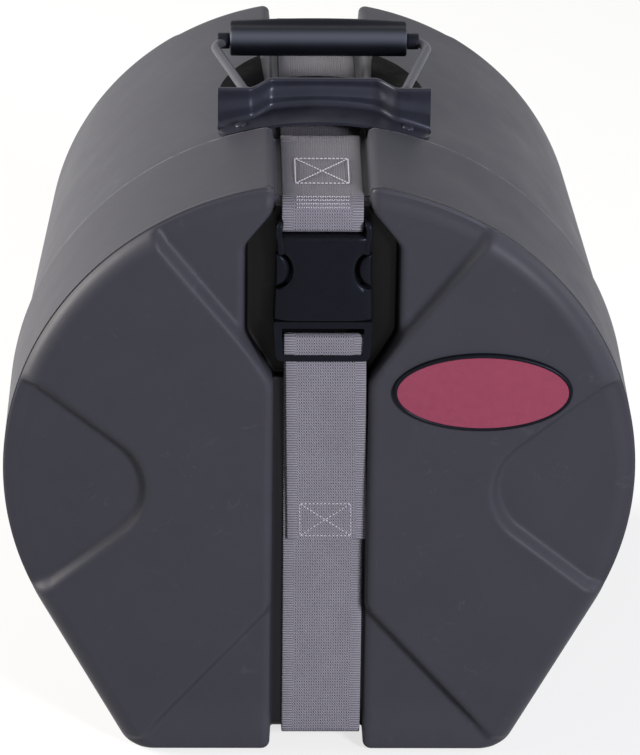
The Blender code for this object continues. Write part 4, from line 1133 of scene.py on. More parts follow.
def acetal():
    material, tree, shader = new_material("black_acetal", IOR=1.48, Roughness=0.3,
                                          Specular_IOR_Level=0.12, Specular_Tint=painted_blue_reflection_tint)
    grain = add_node(tree, "ShaderNodeTexNoise", Vector=object_place(tree, 0.7), Scale=1.0,
                     Detail=2.0, Roughness=0.5)
    handling = add_node(tree, "ShaderNodeTexNoise", Vector=object_place(tree, 9.0), Scale=1.0,
                        Detail=5.0, Roughness=0.65, Distortion=0.8)
    gloss = add_node(tree, "ShaderNodeMapRange", Value=handling.outputs[0], From_Min=0.3, From_Max=0.75,
                     To_Min=0.24, To_Max=0.42)
    tone = add_node(tree, "ShaderNodeMix", {"data_type": "RGBA"}, Factor=handling.outputs[0],
                    in_6=linear("0d0e11"), in_7=linear("131418"))
    bump = add_node(tree, "ShaderNodeBump", Strength=0.18, Distance=0.0001, Height=grain.outputs[0])
    tree.links.new(tone.outputs[2], shader.inputs["Base Color"])
    tree.links.new(gloss.outputs[0], shader.inputs["Roughness"])
    tree.links.new(bump.outputs[0], shader.inputs["Normal"])
    return material


buckle_plastic = acetal()
print("acetal nodes:", len(buckle_plastic.node_tree.nodes))

# %% [markdown]
# The buckle's female half is a stack of closed sections. Each is a superellipse
# |x / a|^n + |y / b|^n = 1, which has flat, slightly crowned faces and soft corners. The half
# width a follows the side windows, which are half ellipses cut into the sides.

# %% Sections and stacks


def superellipse(half_x, half_y, power=7.0, steps=48):
    """x = a sign(cos t) |cos t|^(2 / n), y = b sign(sin t) |sin t|^(2 / n)."""
    t = 2 * math.pi * (np.arange(steps) + 0.5) / steps
    c, s = np.cos(t), np.sin(t)
    x = np.sign(c) * np.abs(c) ** (2 / power)
    y = np.sign(s) * np.abs(s) ** (2 / power)
    return np.stack([np.multiply.outer(half_x, x), np.multiply.outer(half_y, y)], -1)


def rounded_ends(low, high, low_radius, high_radius, inner, steps=4):
    """Rows from low to high with quarter circles at both ends: height and inset of each row."""
    turn = np.linspace(0, math.pi / 2, steps + 1)
    rise = np.concatenate([low + low_radius * (1 - np.cos(turn)), inner,
                           high - high_radius * (1 - np.cos(turn[::-1]))])
    inset = np.concatenate([low_radius * (1 - np.sin(turn)), np.zeros(len(inner)),
                            high_radius * (1 - np.sin(turn[::-1]))])
    return rise, inset


def stack(rings):
    """Points and faces of a pile of convex rings, closed at both ends."""
    return rings.reshape(-1, 3), tube_faces(*rings.shape[:2])


def join(parts):
    """Several closed surfaces as one set of points and faces, each turned to face outwards."""
    points, faces, start = [], [], 0
    for p, f in parts:
        p = np.asarray(p, float).reshape(-1, 3)
        f = f if signed_volume(p - p.mean(0), f) > 0 else f[:, ::-1]
        points.append(p)
        faces.append(f + start)
        start += len(p)
    return np.concatenate(points), np.concatenate(faces)


def soften(thing, width_mm, angle=38, segments=3):
    """Round the edges that turn by more than the angle."""
    edge = thing.modifiers.new("Soft edges", "BEVEL")
    edge.width, edge.segments, edge.limit_method = width_mm * MM, segments, "ANGLE"
    edge.angle_limit = math.radians(angle)
    return thing


# %% Buckle, female half
buckle_x, buckle_half_width, buckle_front, buckle_back = 1.0, 31.0, 3.5, 18.0
buckle_middle, buckle_depth_half = (buckle_front + buckle_back) / 2, (buckle_back - buckle_front) / 2
female_low, female_high, ear_high = 315.3, 373.6, 383.2
window_middle, window_half, window_depth, slot_depth = 349.8, 12.8, 11.2, 4.8


def female_half_width(z):
    """Half width at a height, with the windows taken out. The body widens by 1 mm to its foot and
    draws in by 1.3 mm above the windows."""
    reach = np.clip(1 - ((z - window_middle) / window_half) ** 2, 0, 1)
    foot = 1.0 * (1 - smooth((z - female_low) / 26))
    waist = 1.3 * smooth((z - 352) / 14)
    return buckle_half_width + foot - waist - window_depth * np.sqrt(reach)


def female_body():
    """Superellipses piled up in z. Their half width follows the windows, their ends are rounded,
    and the front falls back by 0.5 u^2 + 1.5 u^7 mm, u being the share of the half width."""
    turn = np.linspace(0, math.pi, 33)
    window_rows = window_middle - window_half * np.cos(turn)
    inner = np.concatenate([np.linspace(318.5, 335.5, 6), window_rows, [364.3, 366.5, 369.8]])
    z, inset = rounded_ends(female_low, female_high, 1.1, 2.4, inner)
    ring = superellipse(female_half_width(z) - inset, buckle_depth_half - inset * 0.8, 8.0)
    slot = slot_depth * smooth((window_half + 0.9 - np.abs(z - window_middle)) / 0.9)[:, None]
    ring[..., 0] -= np.sign(ring[..., 0]) * np.where(np.abs(ring[..., 1]) < 4.2, slot, 0)
    rings = xyz(ring[..., 0] + buckle_x, ring[..., 1] + buckle_middle, z[:, None])
    across = np.abs(rings[..., 0] - buckle_x) / buckle_half_width
    crown = 0.5 * across ** 2 + 1.5 * across ** 7
    rings[..., 1] += np.where(rings[..., 1] < buckle_middle, crown, 0)
    return stack(rings)


def ear(side):
    """A post beside the strap: its outer side bulges out below a well rounded top."""
    z, inset = rounded_ends(362.0, ear_high, 0.1, 3.4, np.linspace(364, 378.5, 8))
    bulge = 1.5 * smooth((z - 367) / 9) - 0.9 * smooth((z - 377) / 6)
    ring = superellipse(2.35 - 0.9 * inset / 3.4, buckle_depth_half - 0.6 - inset, 4.0, 24)
    outer = buckle_half_width - 1.5 + bulge
    x = side * (ring[..., 0] + (outer - 2.35)[:, None]) + buckle_x
    return stack(xyz(x, ring[..., 1] + buckle_middle, z[:, None]))


def round_bar(half, y, z, radius, steps=16):
    """A cylinder along X: y + r cos t and z + r sin t."""
    t = 2 * math.pi * np.arange(steps) / steps
    return stack(xyz([[-half], [half]], y + radius * np.cos(t), z + radius * np.sin(t)))


bar = round_bar(28.5, bar_y, bar_z, bar_radius)
female_points, female_faces = join([female_body(), ear(1), ear(-1), bar])
female = mesh_from("buckle_body", female_points, female_faces, buckle_plastic, smooth_angle=40)
stands_for(soften(female, 0.6), "lid", "buckle_female")
print("female half:", len(female_faces), "faces")

# %% [markdown]
# The male half is a frame round the webbing's window. An outer and an inner outline, both
# rounded rectangles that narrow downwards, are paired point by point; the frame's section lies
# between them. Its depth changes from the thick block at the top to the thin bar at the foot.

# %% Buckle, male half


def rounded_rectangle(half, low, high, low_radius, high_radius, side_steps=8, turn_steps=5):
    """Closed outline from the right side's foot upwards, the corners as quarter circles."""
    line = []
    corners = [(half, low, low_radius, -math.pi / 2), (half, high, high_radius, 0),
               (-half, high, high_radius, math.pi / 2), (-half, low, low_radius, math.pi)]
    for x, z, radius, start in corners:
        centre = np.array([x - math.copysign(radius, x), z + (radius if z == low else -radius)])
        t = start + np.linspace(0, math.pi / 2, turn_steps)
        line.append(centre + radius * np.stack([np.cos(t), np.sin(t)], -1))
    points = []
    for here, after in zip(line, line[1:] + line[:1]):
        points += [here, here[-1] + (after[0] - here[-1]) * np.linspace(0, 1, side_steps + 2)[1:-1, None]]
    return np.concatenate(points)


def narrowed(line):
    """The outline drawn in by 4.5% of its width over its lowest 24 mm."""
    share = np.clip((312 - line[:, 1]) / 24, 0, 1)
    return line * np.stack([1 - 0.045 * share, np.ones(len(line))], -1)


def male_frame():
    """The section has four corners, on the outer and the inner outline, in front and behind."""
    outer = narrowed(rounded_rectangle(31.4, 287.0, 314.8, 4.5, 1.2))
    inner = narrowed(rounded_rectangle(26.4, 291.0, 310.2, 1.4, 1.0))
    low_bar = (outer[:, 1] < 288.0) & (np.abs(outer[:, 0]) < 25.5)
    back = np.where(low_bar, 5.0, np.where(outer[:, 1] > 310, buckle_back, 14.5))
    front = buckle_front + 0.3
    section = [(outer, front), (inner, front), (inner, back), (outer, back)]
    points = np.stack([xyz(line[:, 0] + buckle_x, y, line[:, 1]) for line, y in section], axis=1)
    faces = grid_faces(numbers(0, len(outer), 4), wrap_across=True, wrap_along=True)
    return points.reshape(-1, 3), faces


def slide_bar(half=27.6):
    """A bar along X whose section is a superellipse."""
    ring = superellipse(np.full(2, slide_half), np.full(2, slide_rise), 3.5, 24)
    x = np.array([[-half], [half]]) + buckle_x
    return stack(xyz(x, ring[..., 0] + slide_y, ring[..., 1] + slide_z))


male_points, male_faces = join([male_frame(), slide_bar()])
male = mesh_from("buckle_frame", male_points, male_faces, buckle_plastic, smooth_angle=40)
stands_for(soften(male, 0.7), "lid", "buckle_male")


def prong(side):
    """The finger pad that fills a side window, bulged on its outer side. Its sprung arm runs
    inside the female half, where nothing shows, so the arm is left out."""
    turn = np.linspace(-0.46, 0.46, 17) * math.pi
    outer = buckle_half_width - 0.3
    z = window_middle - 0.4 + (window_half - 2.0) * np.sin(turn)
    fill = np.cos(turn)
    half = (window_depth - 2.2) / 2 * fill + 0.2
    ring = superellipse(half, 4.1 * fill ** 0.3, 2.4, 32)
    x = side * (ring[..., 0] + (outer - half)[:, None]) + buckle_x
    return stack(xyz(x, ring[..., 1] + buckle_middle, z[:, None]))


for side, word in ((1, "right"), (-1, "left")):
    thing = mesh_from(f"buckle_pad_{word}", *prong(side), buckle_plastic, smooth_angle=45)
    stands_for(thing, f"prong_{word}", f"buckle_prong_{word}")

# %% [markdown]
# The handle's bracket is pressed from sheet steel and powder coated in glossy black. The coat
# levels to a faint orange peel, which bends the reflections a little, and the folded edges
# catch pale lines. The bail's wire has the same coat, worn duller by hands. The grip is smooth
# moulded polypropylene and its two collars are rubber: they are the same graph with no clear coat.

# %% Coated steel, moulded grip and rubber


def dark_finish(name, roughness, colours, coat, glaze=0.16, gloss=0.2):
    """A dark coat or moulding. Where a piece stores the grip's highlight share, a paler highlight is
    painted there.
    """
    material, tree, shader = new_material(name, IOR=1.5, Roughness=roughness, Coat_Weight=coat,
                                          Coat_Roughness=glaze, Specular_Tint=painted_blue_reflection_tint,
                                          Specular_IOR_Level=gloss)
    peel = add_node(tree, "ShaderNodeTexNoise", Vector=object_place(tree, 2.4), Scale=1.0,
                    Detail=2.0, Roughness=0.5)
    wear = add_node(tree, "ShaderNodeTexNoise", Vector=object_place(tree, 16.0), Scale=1.0,
                    Detail=5.0, Roughness=0.7, Distortion=0.6)
    tone = add_node(tree, "ShaderNodeMix", {"data_type": "RGBA"}, Factor=wear.outputs[0],
                    in_6=linear(colours[0]), in_7=linear(colours[1]))
    rough = add_node(tree, "ShaderNodeMapRange", Value=wear.outputs[0], From_Min=0.3, From_Max=0.75,
                     To_Min=roughness - 0.06, To_Max=roughness + 0.14)
    bump = add_node(tree, "ShaderNodeBump", Strength=0.04, Distance=0.0003, Height=peel.outputs[0])
    # Painted highlight: a pale band along the grip's upper front.
    painted_grip_highlight = add_node(tree, "ShaderNodeAttribute", {"attribute_name": "painted_grip_highlight"})
    paling_with_painted_highlight = add_node(tree, "ShaderNodeMix", {"data_type": "RGBA"}, Factor=painted_grip_highlight.outputs["Fac"],
                      in_6=tone.outputs[2], in_7=linear("4c5058"))
    tree.links.new(paling_with_painted_highlight.outputs[2], shader.inputs["Base Color"])
    tree.links.new(rough.outputs[0], shader.inputs["Roughness"])
    tree.links.new(bump.outputs[0], shader.inputs["Normal"])
    tree.links.new(bump.outputs[0], shader.inputs["Coat Normal"])
    return material


bracket_steel = dark_finish("powder_coated_steel", 0.36, ("1f2026", "282a33"), coat=0.15,
                            glaze=0.26, gloss=0.15)
# Painted shade: a near-black, almost glossless copy of the coat, for the flat sheet under the grip.
painted_shade_steel = dark_finish("painted_shade_powder_coated_steel", 0.42, ("030304", "050507"), coat=0.0,
                           gloss=0.01)
wire_steel = dark_finish("powder_coated_wire", 0.36, ("3a3a3f", "4a4a50"), coat=0.1)
grip_plastic = dark_finish("smooth_polypropylene_grip", 0.36, ("0a0b0f", "101217"), coat=0.0,
                           gloss=0.1)
rubber = dark_finish("black_rubber", 0.6, ("0b0b0d", "131316"), coat=0.0)

# %% [markdown]
# The bracket is a bent sheet over a flat one. The flat one comes out behind the wall, and two
# tongues of it reach back under the grip, one on each side of the strap. Its coat is painted near
# black with almost no gloss: painted shade under the grip and the wall.
#
# Across the case a point of the bent sheet lies at a. Along the bend the sheet runs from the
# flange's front edge over the case's curve, up the wall, whose middle slants back and catches
# the light, over the rolled top and down behind. The wall stands 12 mm further forward at its
# sides, where it hides the bail's feet; it comes forward over a soft slant between 33 and 49 mm
# from the middle.

# %% Bracket
bracket_x, bracket_half, sheet, seat_gap = 3.0, 69.0, 1.8, 0.3
flange_front, flange_back, wall_y = 114.0, 202.0, 146.0
tongue_back = 256.0


def tub_top_at(x, y):
    """The tub's outer skin, as in the CAD model: a circle whose radius shrinks backwards."""
    return arc_height + np.sqrt(base_radius(case_depth - y) ** 2 - x ** 2)


def seat_at(x, y):
    """The upper side of a sheet that lies on the tub."""
    return tub_top_at(x, y) + seat_gap + sheet


def corner_draw(a, across=11.0, along=14.0):
    """How far a flange edge draws back at its rounded corners: a quarter of an ellipse."""
    into = np.clip(np.abs(a) - (bracket_half - across), 0, across) / across
    return along * (1 - np.sqrt(1 - into ** 2))


def bracket_places(count):
    """Places across, closer together at the rounded corners and at the slanted bends."""
    t = np.linspace(-1, 1, count)
    return bracket_half * np.sin(t * math.pi / 2)


def bend(p0, p1, p2, radius, steps=6):
    """Quarter-like turn between two legs as a quadratic curve through the corner's shoulders,
    q(t) = (1 - t)^2 a + 2 t (1 - t) p1 + t^2 b, all rows at once."""
    u = (p0 - p1) / np.linalg.norm(p0 - p1, axis=-1, keepdims=True)
    v = (p2 - p1) / np.linalg.norm(p2 - p1, axis=-1, keepdims=True)
    a, b = p1 + u * radius, p1 + v * radius
    t = np.linspace(0, 1, steps + 1)[None, :, None]
    return (1 - t) ** 2 * a[:, None] + 2 * t * (1 - t) * p1[:, None] + t ** 2 * b[:, None]


def wall_side(a):
    """0 along the middle of the wall and 1 at its sides."""
    return smooth((np.abs(a) - 33) / 16)


def wall_front(a):
    """How far back the wall stands: 12 mm less at its sides."""
    return wall_y - 12.0 * wall_side(a)


def bracket_sheet():
    """For each place across, rows along the bend: the flange, the turn at the wall's foot, the
    wall, the two turns over its top and the lip behind."""
    a = bracket_places(97)
    x = a + bracket_x
    side = wall_side(a)
    wall = wall_front(a)
    top = 419.8 - 1.0 * side
    reach = 6.8 - 1.8 * side
    edge = flange_front + corner_draw(a)
    front = xyz(x, edge, seat_at(x, edge))
    foot = xyz(x, wall - 0.5, seat_at(x, wall))
    crest = xyz(x, wall + 3.4 - 1.9 * side, top)
    behind = xyz(x, wall + reach, top)
    end = xyz(x, wall + reach + 0.4, top - 5.0)
    inner = front[:, None] + (foot - front)[:, None] * np.linspace(0, 0.75, 7)[None, :, None]
    t = np.linspace(0.36, 0.84, 9)[None, :, None]
    wall_rows = foot[:, None] + (crest - foot)[:, None] * np.concatenate(
        [t, 0.05 + 0.95 * smooth((t - 0.3) / 0.45), t], axis=-1)
    rows = [inner, bend(front, foot, crest, 4.2), wall_rows, bend(foot, crest, behind, 1.5, 5),
            bend(crest, behind, end, 1.4, 5), end[:, None]]
    return np.concatenate(rows, axis=1)


def rear_flange():
    """The flat sheet behind the wall, with a tongue on each side of the strap."""
    a = bracket_places(145)
    x = a + bracket_x
    start = wall_front(a) - 1
    beside_strap = smooth((np.abs(x) - 35) / 3)
    end = flange_back + (tongue_back - flange_back) * beside_strap - corner_draw(a, 40.0, 62.0)
    y = start[:, None] + (end - start)[:, None] * np.linspace(0, 1, 16)
    return xyz(x[:, None], y, seat_at(x[:, None], y))


def closed_between(outer, inner):
    """Two equal grids as the two faces of a slab, with walls round their border."""
    rows, columns = outer.shape[:2]
    index, count = numbers(0, rows, columns), rows * columns
    border = np.concatenate([index[0, :-1], index[:-1, -1], index[-1, :0:-1], index[:0:-1, 0]])
    after = np.roll(border, -1)
    faces = grid_faces(index)
    walls = np.stack([border, after, after + count, border + count], -1)
    return np.concatenate([outer.reshape(-1, 3), inner.reshape(-1, 3)]), np.concatenate(
        [faces, faces[:, ::-1] + count, walls[:, ::-1]])


def sheet_piece(points):
    """A sheet given its thickness: the same grid moved along its normals, and a wall round the
    border."""
    normal = np.cross(np.gradient(points, axis=0), np.gradient(points, axis=1))
    normal /= np.linalg.norm(normal, axis=-1, keepdims=True)
    return closed_between(points, points - normal * sheet)


for name, surface, coat in (("pressed_bracket", bracket_sheet(), bracket_steel),
                            ("bracket_base_plate", rear_flange(), painted_shade_steel)):
    thing = mesh_from(name, *sheet_piece(surface), coat, smooth_angle=75)
    stands_for(thing, "base", "handle_bracket")
    print(name, "size in mm:", [round(v * 1000, 1) for v in thing.dimensions])

# %% [markdown]
# The bail is a 6 mm wire. A round section is carried along its centre line: in at the pivots,
# out along the leaning arms, round two bends and across inside the grip. The grip's section
# is a circle with a finger lip, r = 10 + lip exp(-(angle / 20 degrees)^2), and the lip stands
# 2 mm higher in its middle than at its ends.

# %% Bail, grip, collars and rivets
pivot_y, pivot_z, bail_arm, fold_slope = 152.0, 409.0, 88.0, math.radians(0.5)


def in_fold(along, rise):
    """A place in the folded bail's plane, which falls by half a degree behind the pivots: along
    runs back in it, and rise is square to it."""
    y = pivot_y + along * math.cos(fold_slope) + rise * math.sin(fold_slope)
    z = pivot_z - along * math.sin(fold_slope) + rise * math.cos(fold_slope)
    return y, z


def tube_along(line, radius, steps=20):
    """Round section carried along a flat line of X and along, in the folded plane."""
    run = np.gradient(line, axis=0)
    run /= np.linalg.norm(run, axis=1, keepdims=True)
    side = np.stack([-run[:, 1], run[:, 0]], -1)
    t = 2 * math.pi * np.arange(steps) / steps
    flat = line[:, None] + side[:, None] * (radius * np.cos(t))[None, :, None]
    y, z = in_fold(flat[..., 1], radius * np.sin(t)[None, :] + np.zeros((len(line), 1)))
    return np.stack([flat[..., 0], y, z], -1)


def bail_line():
    """From foot to foot. Each pair of corners has a half width and lies a little to the right."""
    pairs = [(38.5, 2.0, 0), (51.5, 3.8, 0), (73.6, 2.3, bail_arm)]
    right = [(half + drift, along) for half, drift, along in pairs]
    left = [(drift - half, along) for half, drift, along in pairs[::-1]]
    return filleted(right + left, [8.0, 13.0, 13.0, 8.0], 2.5)


bail = mesh_from("wire_bail", *stack(tube_along(bail_line(), 3.0)), wire_steel, smooth_angle=60)
stands_for(bail, "handle", "handle_bail")


def grip_surface(half=58.8, x_middle=0.9):
    """Rings along X with the radius r of the text above, less at the rounded ends."""
    t = 2 * math.pi * np.arange(64) / 64
    x, inset = rounded_ends(-half, half, 1.6, 1.6, np.linspace(-half + 6, half - 6, 17))
    away = (t - math.radians(45) + math.pi) % (2 * math.pi) - math.pi
    lip = (4.4 + 2.0 * (1 - (x / half) ** 2))[:, None] * np.exp(-(away / math.radians(20)) ** 2)[None]
    r = 10.0 + lip - inset[:, None]
    y, z = in_fold(bail_arm + r * np.cos(t), r * np.sin(t))
    return xyz((x + x_middle)[:, None], y, z)


def fan_caps(rings):
    """Closed pile of rings whose two ends are fans round a middle point each."""
    rows, around = rings.shape[:2]
    points = np.concatenate([rings.reshape(-1, 3), rings[[0, -1]].mean(1)])
    index = numbers(0, rows, around)
    first, last = np.full(around, rows * around), np.full(around, rows * around + 1)
    fans = [np.stack([np.roll(index[0], -1), index[0], first, first], -1),
            np.stack([index[-1], np.roll(index[-1], -1), last, last], -1)]
    return points, np.concatenate([grid_faces(index, wrap_across=True)] + fans)


def mark_painted_grip_highlight(thing, points):
    """Store where a highlight is painted on the grip: 1 along its upper front, 40 degrees above
    the level, and less round it as exp(-(angle / 24 degrees)^2)."""
    _, y, z = points.T
    middle_y, middle_z = in_fold(bail_arm, 0)
    turn = np.degrees(np.arctan2(z - middle_z, middle_y - y))
    store(thing, "painted_grip_highlight", np.exp(-((turn - 40) / 24) ** 2))


grip_points, grip_faces = fan_caps(grip_surface())
grip = mesh_from("moulded_grip", grip_points, grip_faces, grip_plastic, smooth_angle=50)
mark_painted_grip_highlight(grip, grip_points)
stands_for(grip, "handle", "handle_grip")


def collar(inner_x, outer_x, radius=5.4):
    """A sleeve with rounded ends round the bail's cross wire."""
    x, inset = rounded_ends(inner_x, outer_x, 0.8, 0.8, [(inner_x + outer_x) / 2])
    t = 2 * math.pi * np.arange(24) / 24
    r = (radius - inset)[:, None]
    y, z = in_fold(bail_arm + r * np.cos(t), r * np.sin(t))
    return xyz(x[:, None], y, z)


for word, ends in (("right", (59.9, 67.8)), ("left", (-66.2, -58.1))):
    thing = mesh_from(f"collar_sleeve_{word}", *stack(collar(*ends)), rubber, smooth_angle=50)
    stands_for(thing, "handle", f"grip_collar_{word}")


def rivet(x, y, radius=3.9, height=1.6):
    """Domed head, turned round the case's own normal: r = R sin t, h = H cos t."""
    t = np.linspace(0.02, math.pi / 2, 8)
    turn = 2 * math.pi * np.arange(20) / 20
    r = np.concatenate([radius * np.sin(t), [radius, 2.2, 2.2]])
    h = np.concatenate([height * np.cos(t) + 0.5, [-0.1, -0.2, -9.5]]) + sheet + seat_gap
    lean = math.asin(x / base_radius(case_depth - y))
    dx, dy = r[:, None] * np.cos(turn), r[:, None] * np.sin(turn)
    across = x + dx * math.cos(lean) + h[:, None] * math.sin(lean)
    up = tub_top_at(x, y) + h[:, None] * math.cos(lean) - dx * math.sin(lean)
    return stack(xyz(across, y + dy, up))


rivet_spots = [(bracket_x + s * 53.5, y) for s in (-1, 1) for y in (125.0, 184.0)]
for number, spot in enumerate(rivet_spots, 1):
    thing = mesh_from(f"bracket_rivet_head_{number}", *rivet(*spot), bracket_steel, smooth_angle=60)
    stands_for(thing, "base", f"bracket_rivet_{number}")
print("bail, grip, collars and", len(rivet_spots), "rivets")

# %% [markdown]
# The oval plate is a black rim round a slightly domed enamelled face. The enamel is a plain deep
# red under a clear coat. Tiny waves in the coat and a few specks keep it from looking like flat
# paint.

# %% Oval plate


def deep_red_enamel():
    material, tree, shader = new_material("deep_red_enamel", IOR=1.5, Roughness=0.38, Coat_Weight=0.25,
                                          Specular_IOR_Level=0.2, Coat_Roughness=0.1)
    wave_noise = add_node(tree, "ShaderNodeTexNoise", Vector=object_place(tree, 5.0), Scale=1.0,
                          Detail=2.0, Roughness=0.5)
    specks = add_node(tree, "ShaderNodeTexNoise", Vector=object_place(tree, 0.8), Scale=1.0,
                      Detail=3.0, Roughness=0.7)
    speck_share = add_node(tree, "ShaderNodeMapRange", Value=specks.outputs[0], From_Min=0.62, From_Max=0.8)
    tone = add_node(tree, "ShaderNodeMix", {"data_type": "RGBA"}, Factor=wave_noise.outputs[0],
                    in_6=linear("843349"), in_7=linear("8f3c53"))
    spotted = add_node(tree, "ShaderNodeMix", {"data_type": "RGBA"}, Factor=speck_share.outputs[0],
                       in_6=tone.outputs[2], in_7=linear("ab5a6e"))
    bump = add_node(tree, "ShaderNodeBump", Strength=0.08, Distance=0.0004, Height=wave_noise.outputs[0])
    tree.links.new(spotted.outputs[2], shader.inputs["Base Color"])
    tree.links.new(bump.outputs[0], shader.inputs["Coat Normal"])
    return material


plate_x, plate_z, plate_half_x, plate_half_z, rim_width = 103.5, 267.8, 57.5, 27.5, 2.6
enamel = deep_red_enamel()


def plate_rim():
    """A rounded section carried round the ellipse x = a cos t, z = b sin t."""
    t = 2 * math.pi * np.arange(144) / 144
    profile = np.array([(-2.9, -0.2), (-2.5, -2.5), (-2.0, -3.0), (-1.3, -3.2), (-0.7, -3.0),
                        (-0.15, -2.3), (0.0, -1.2), (0.0, -0.2)])
    inset, y = profile.T
    x = plate_x + (plate_half_x + inset) * np.cos(t)[:, None]
    z = plate_z + (plate_half_z + inset) * np.sin(t)[:, None]
    faces = grid_faces(numbers(0, len(t), len(inset)), wrap_across=True, wrap_along=True)
    return xyz(x, y, z).reshape(-1, 3), faces


def plate_dome():
    """Rings of the same ellipse, the face's height falling as 0.5 r^2 towards its rim."""
    t = 2 * math.pi * np.arange(144) / 144
    share = np.array([1.0, 1.0, 0.985, 0.95, 0.85, 0.7, 0.5, 0.3, 0.1])
    y = np.concatenate([[-0.3], -2.55 - 0.5 * (1 - share[1:] ** 2)])
    x = plate_x + (plate_half_x - rim_width) * share[:, None] * np.cos(t)
    z = plate_z + (plate_half_z - rim_width) * share[:, None] * np.sin(t)
    return xyz(x, y[:, None], z)


rim = mesh_from("oval_plate_rim", *plate_rim(), buckle_plastic, smooth_angle=60)
stands_for(rim, "lid", "plate_bezel")
face = mesh_from("oval_plate_face", *stack(plate_dome()), enamel, smooth_angle=40)
stands_for(face, "lid", "plate_face")
print("oval plate:", 2 * plate_half_x, "by", 2 * plate_half_z, "mm")

# %% [markdown]
# Two patches of stitching hold the strap's ends. Both have a box with a cross; the one on the
# upper run also has dense zigzag rows, where the strap is sewn round the buckle's bar. Each
# stitch is a short bowed thread, 0.9 mm thick so that it shows, in a paler grey than the webbing.

# %% Stitches


def sewing_thread():
    material, tree, shader = new_material("polyester_thread", IOR=1.5, Roughness=0.6, Sheen_Weight=0.2)
    twist = add_node(tree, "ShaderNodeTexNoise", Vector=object_place(tree, 0.5), Scale=1.0,
                     Detail=2.0, Roughness=0.6)
    tone = add_node(tree, "ShaderNodeMix", {"data_type": "RGBA"}, Factor=twist.outputs[0],
                    in_6=linear("9b979f"), in_7=linear("cbc9d0"))
    bump = add_node(tree, "ShaderNodeBump", Strength=0.5, Distance=0.0002, Height=twist.outputs[0])
    tree.links.new(tone.outputs[2], shader.inputs["Base Color"])
    tree.links.new(bump.outputs[0], shader.inputs["Normal"])
    return material


thread = sewing_thread()


def along_line(corners, pitch):
    """Pairs of ends of stitches along straight lines, with a gap of a fifth between them."""
    pairs = []
    for a, b in zip(corners, corners[1:]):
        a, b = np.asarray(a, float), np.asarray(b, float)
        count = max(1, int(round(np.linalg.norm(b - a) / pitch)))
        t = np.arange(count)[:, None] / count
        pairs.append(np.stack([a + (b - a) * (t + 0.1 / count), a + (b - a) * (t + 0.9 / count)], 1))
    return np.concatenate(pairs)


def stitches(pairs, surface, radius=0.42):
    """Each stitch bows out of the cloth: over s from 0 to 1 its line is ends(s) + h sin(pi s) n,
    and its thickness is r sin(pi s)^0.4. surface maps patch places to points and normals."""
    steps, bow, sunk = 6, 0.30, 0.05
    s = np.linspace(0.04, 0.96, steps)
    flat = pairs[:, :1] + (pairs[:, 1:] - pairs[:, :1]) * s[None, :, None]
    points, normal = surface(flat[..., 0], flat[..., 1])
    line = points + normal * (bow * np.sin(math.pi * s) - sunk)[None, :, None]
    run = line[:, -1:] - line[:, :1]
    run = run / np.linalg.norm(run, axis=-1, keepdims=True)
    side = np.cross(run, normal)
    t = 2 * math.pi * np.arange(steps) / steps
    r = radius * np.sin(math.pi * s) ** 0.4
    ring = side[:, :, None] * np.cos(t)[:, None] + normal[:, :, None] * np.sin(t)[:, None]
    points = line[:, :, None] + ring * r[None, :, None, None]
    first = steps ** 2 * np.arange(len(pairs))[:, None, None]
    return points.reshape(-1, 3), (tube_faces(steps, steps) + first).reshape(-1, 4)


def on_tail(u, v):
    """Patch places on the tail's front: u across and v up from the tail's end."""
    z = tail_z - tail_length + v
    s = (tail_z - z) / tail_length
    y = tail_depth(s) - strap_thickness / 2
    x = u + tail_drift(s)
    return xyz(x, y, z), np.broadcast_to([0.0, -1.0, 0.0], x.shape + (3,))


def on_upper(u, v):
    """Patch places on the upper run's outer face: v runs down from the crown over the bend."""
    r = bend_here + strap_thickness / 2
    centre_y, centre_z = strap_inset + bend_here, crown_in - bend_here
    turn = np.clip(v / r, 0, math.pi / 2)
    y = centre_y - r * np.sin(turn) - np.minimum(v, 0)
    z = centre_z + r * np.cos(turn) - np.maximum(v - r * math.pi / 2, 0)
    return xyz(u, y, z), xyz(0, -np.sin(turn), np.cos(turn))


def box_and_cross(half, low, high, pitch):
    """Stitches round a box and along both its diagonals."""
    box = [(-half, low), (half, low), (half, high), (-half, high), (-half, low), (half, high)]
    return [along_line(box, pitch), along_line([(-half, high), (half, low)], pitch)]


def zigzag(number):
    """One dense row across the upper run. Every second row starts on its other side."""
    first, row_gap, row_height = 4.0, 2.4, 1.1
    places = enumerate(np.linspace(-17, 17, 24))
    corners = [(x, first + row_gap * number + row_height * ((i + number) % 2)) for i, x in places]
    return along_line(corners, 1.7)


def sewn_patch(name, pairs, surface):
    """One mesh of all the stitches of a patch."""
    return mesh_from(name, *stitches(pairs, surface), thread, smooth_angle=80)


tail_pairs = np.concatenate(box_and_cross(16.5, 2.6, 26.0, 2.5)) + np.array([-1.0, 0])
tail_thread = sewn_patch("tail_stitching", tail_pairs, on_tail)
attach(tail_thread, "tail")
upper_pairs = np.concatenate([zigzag(k) for k in range(4)] + box_and_cross(17.0, -52.0, -14.0, 2.6))
upper_thread = sewn_patch("upper_stitching", upper_pairs, on_upper)
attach(upper_thread, "lid")
print("stitches:", len(tail_pairs), "on the tail and", len(upper_pairs), "above the buckle")

# %% [markdown]
# Foam cushions the drum inside: a slab in the lid, one at the tub's back and two curved liners.
# It is charcoal polyurethane foam, matt and porous, with cells about 1 mm across. Each slab is
# cut from sheet, so its faces are nearly flat, with a slight crown and rounded rims.

# %% Foam


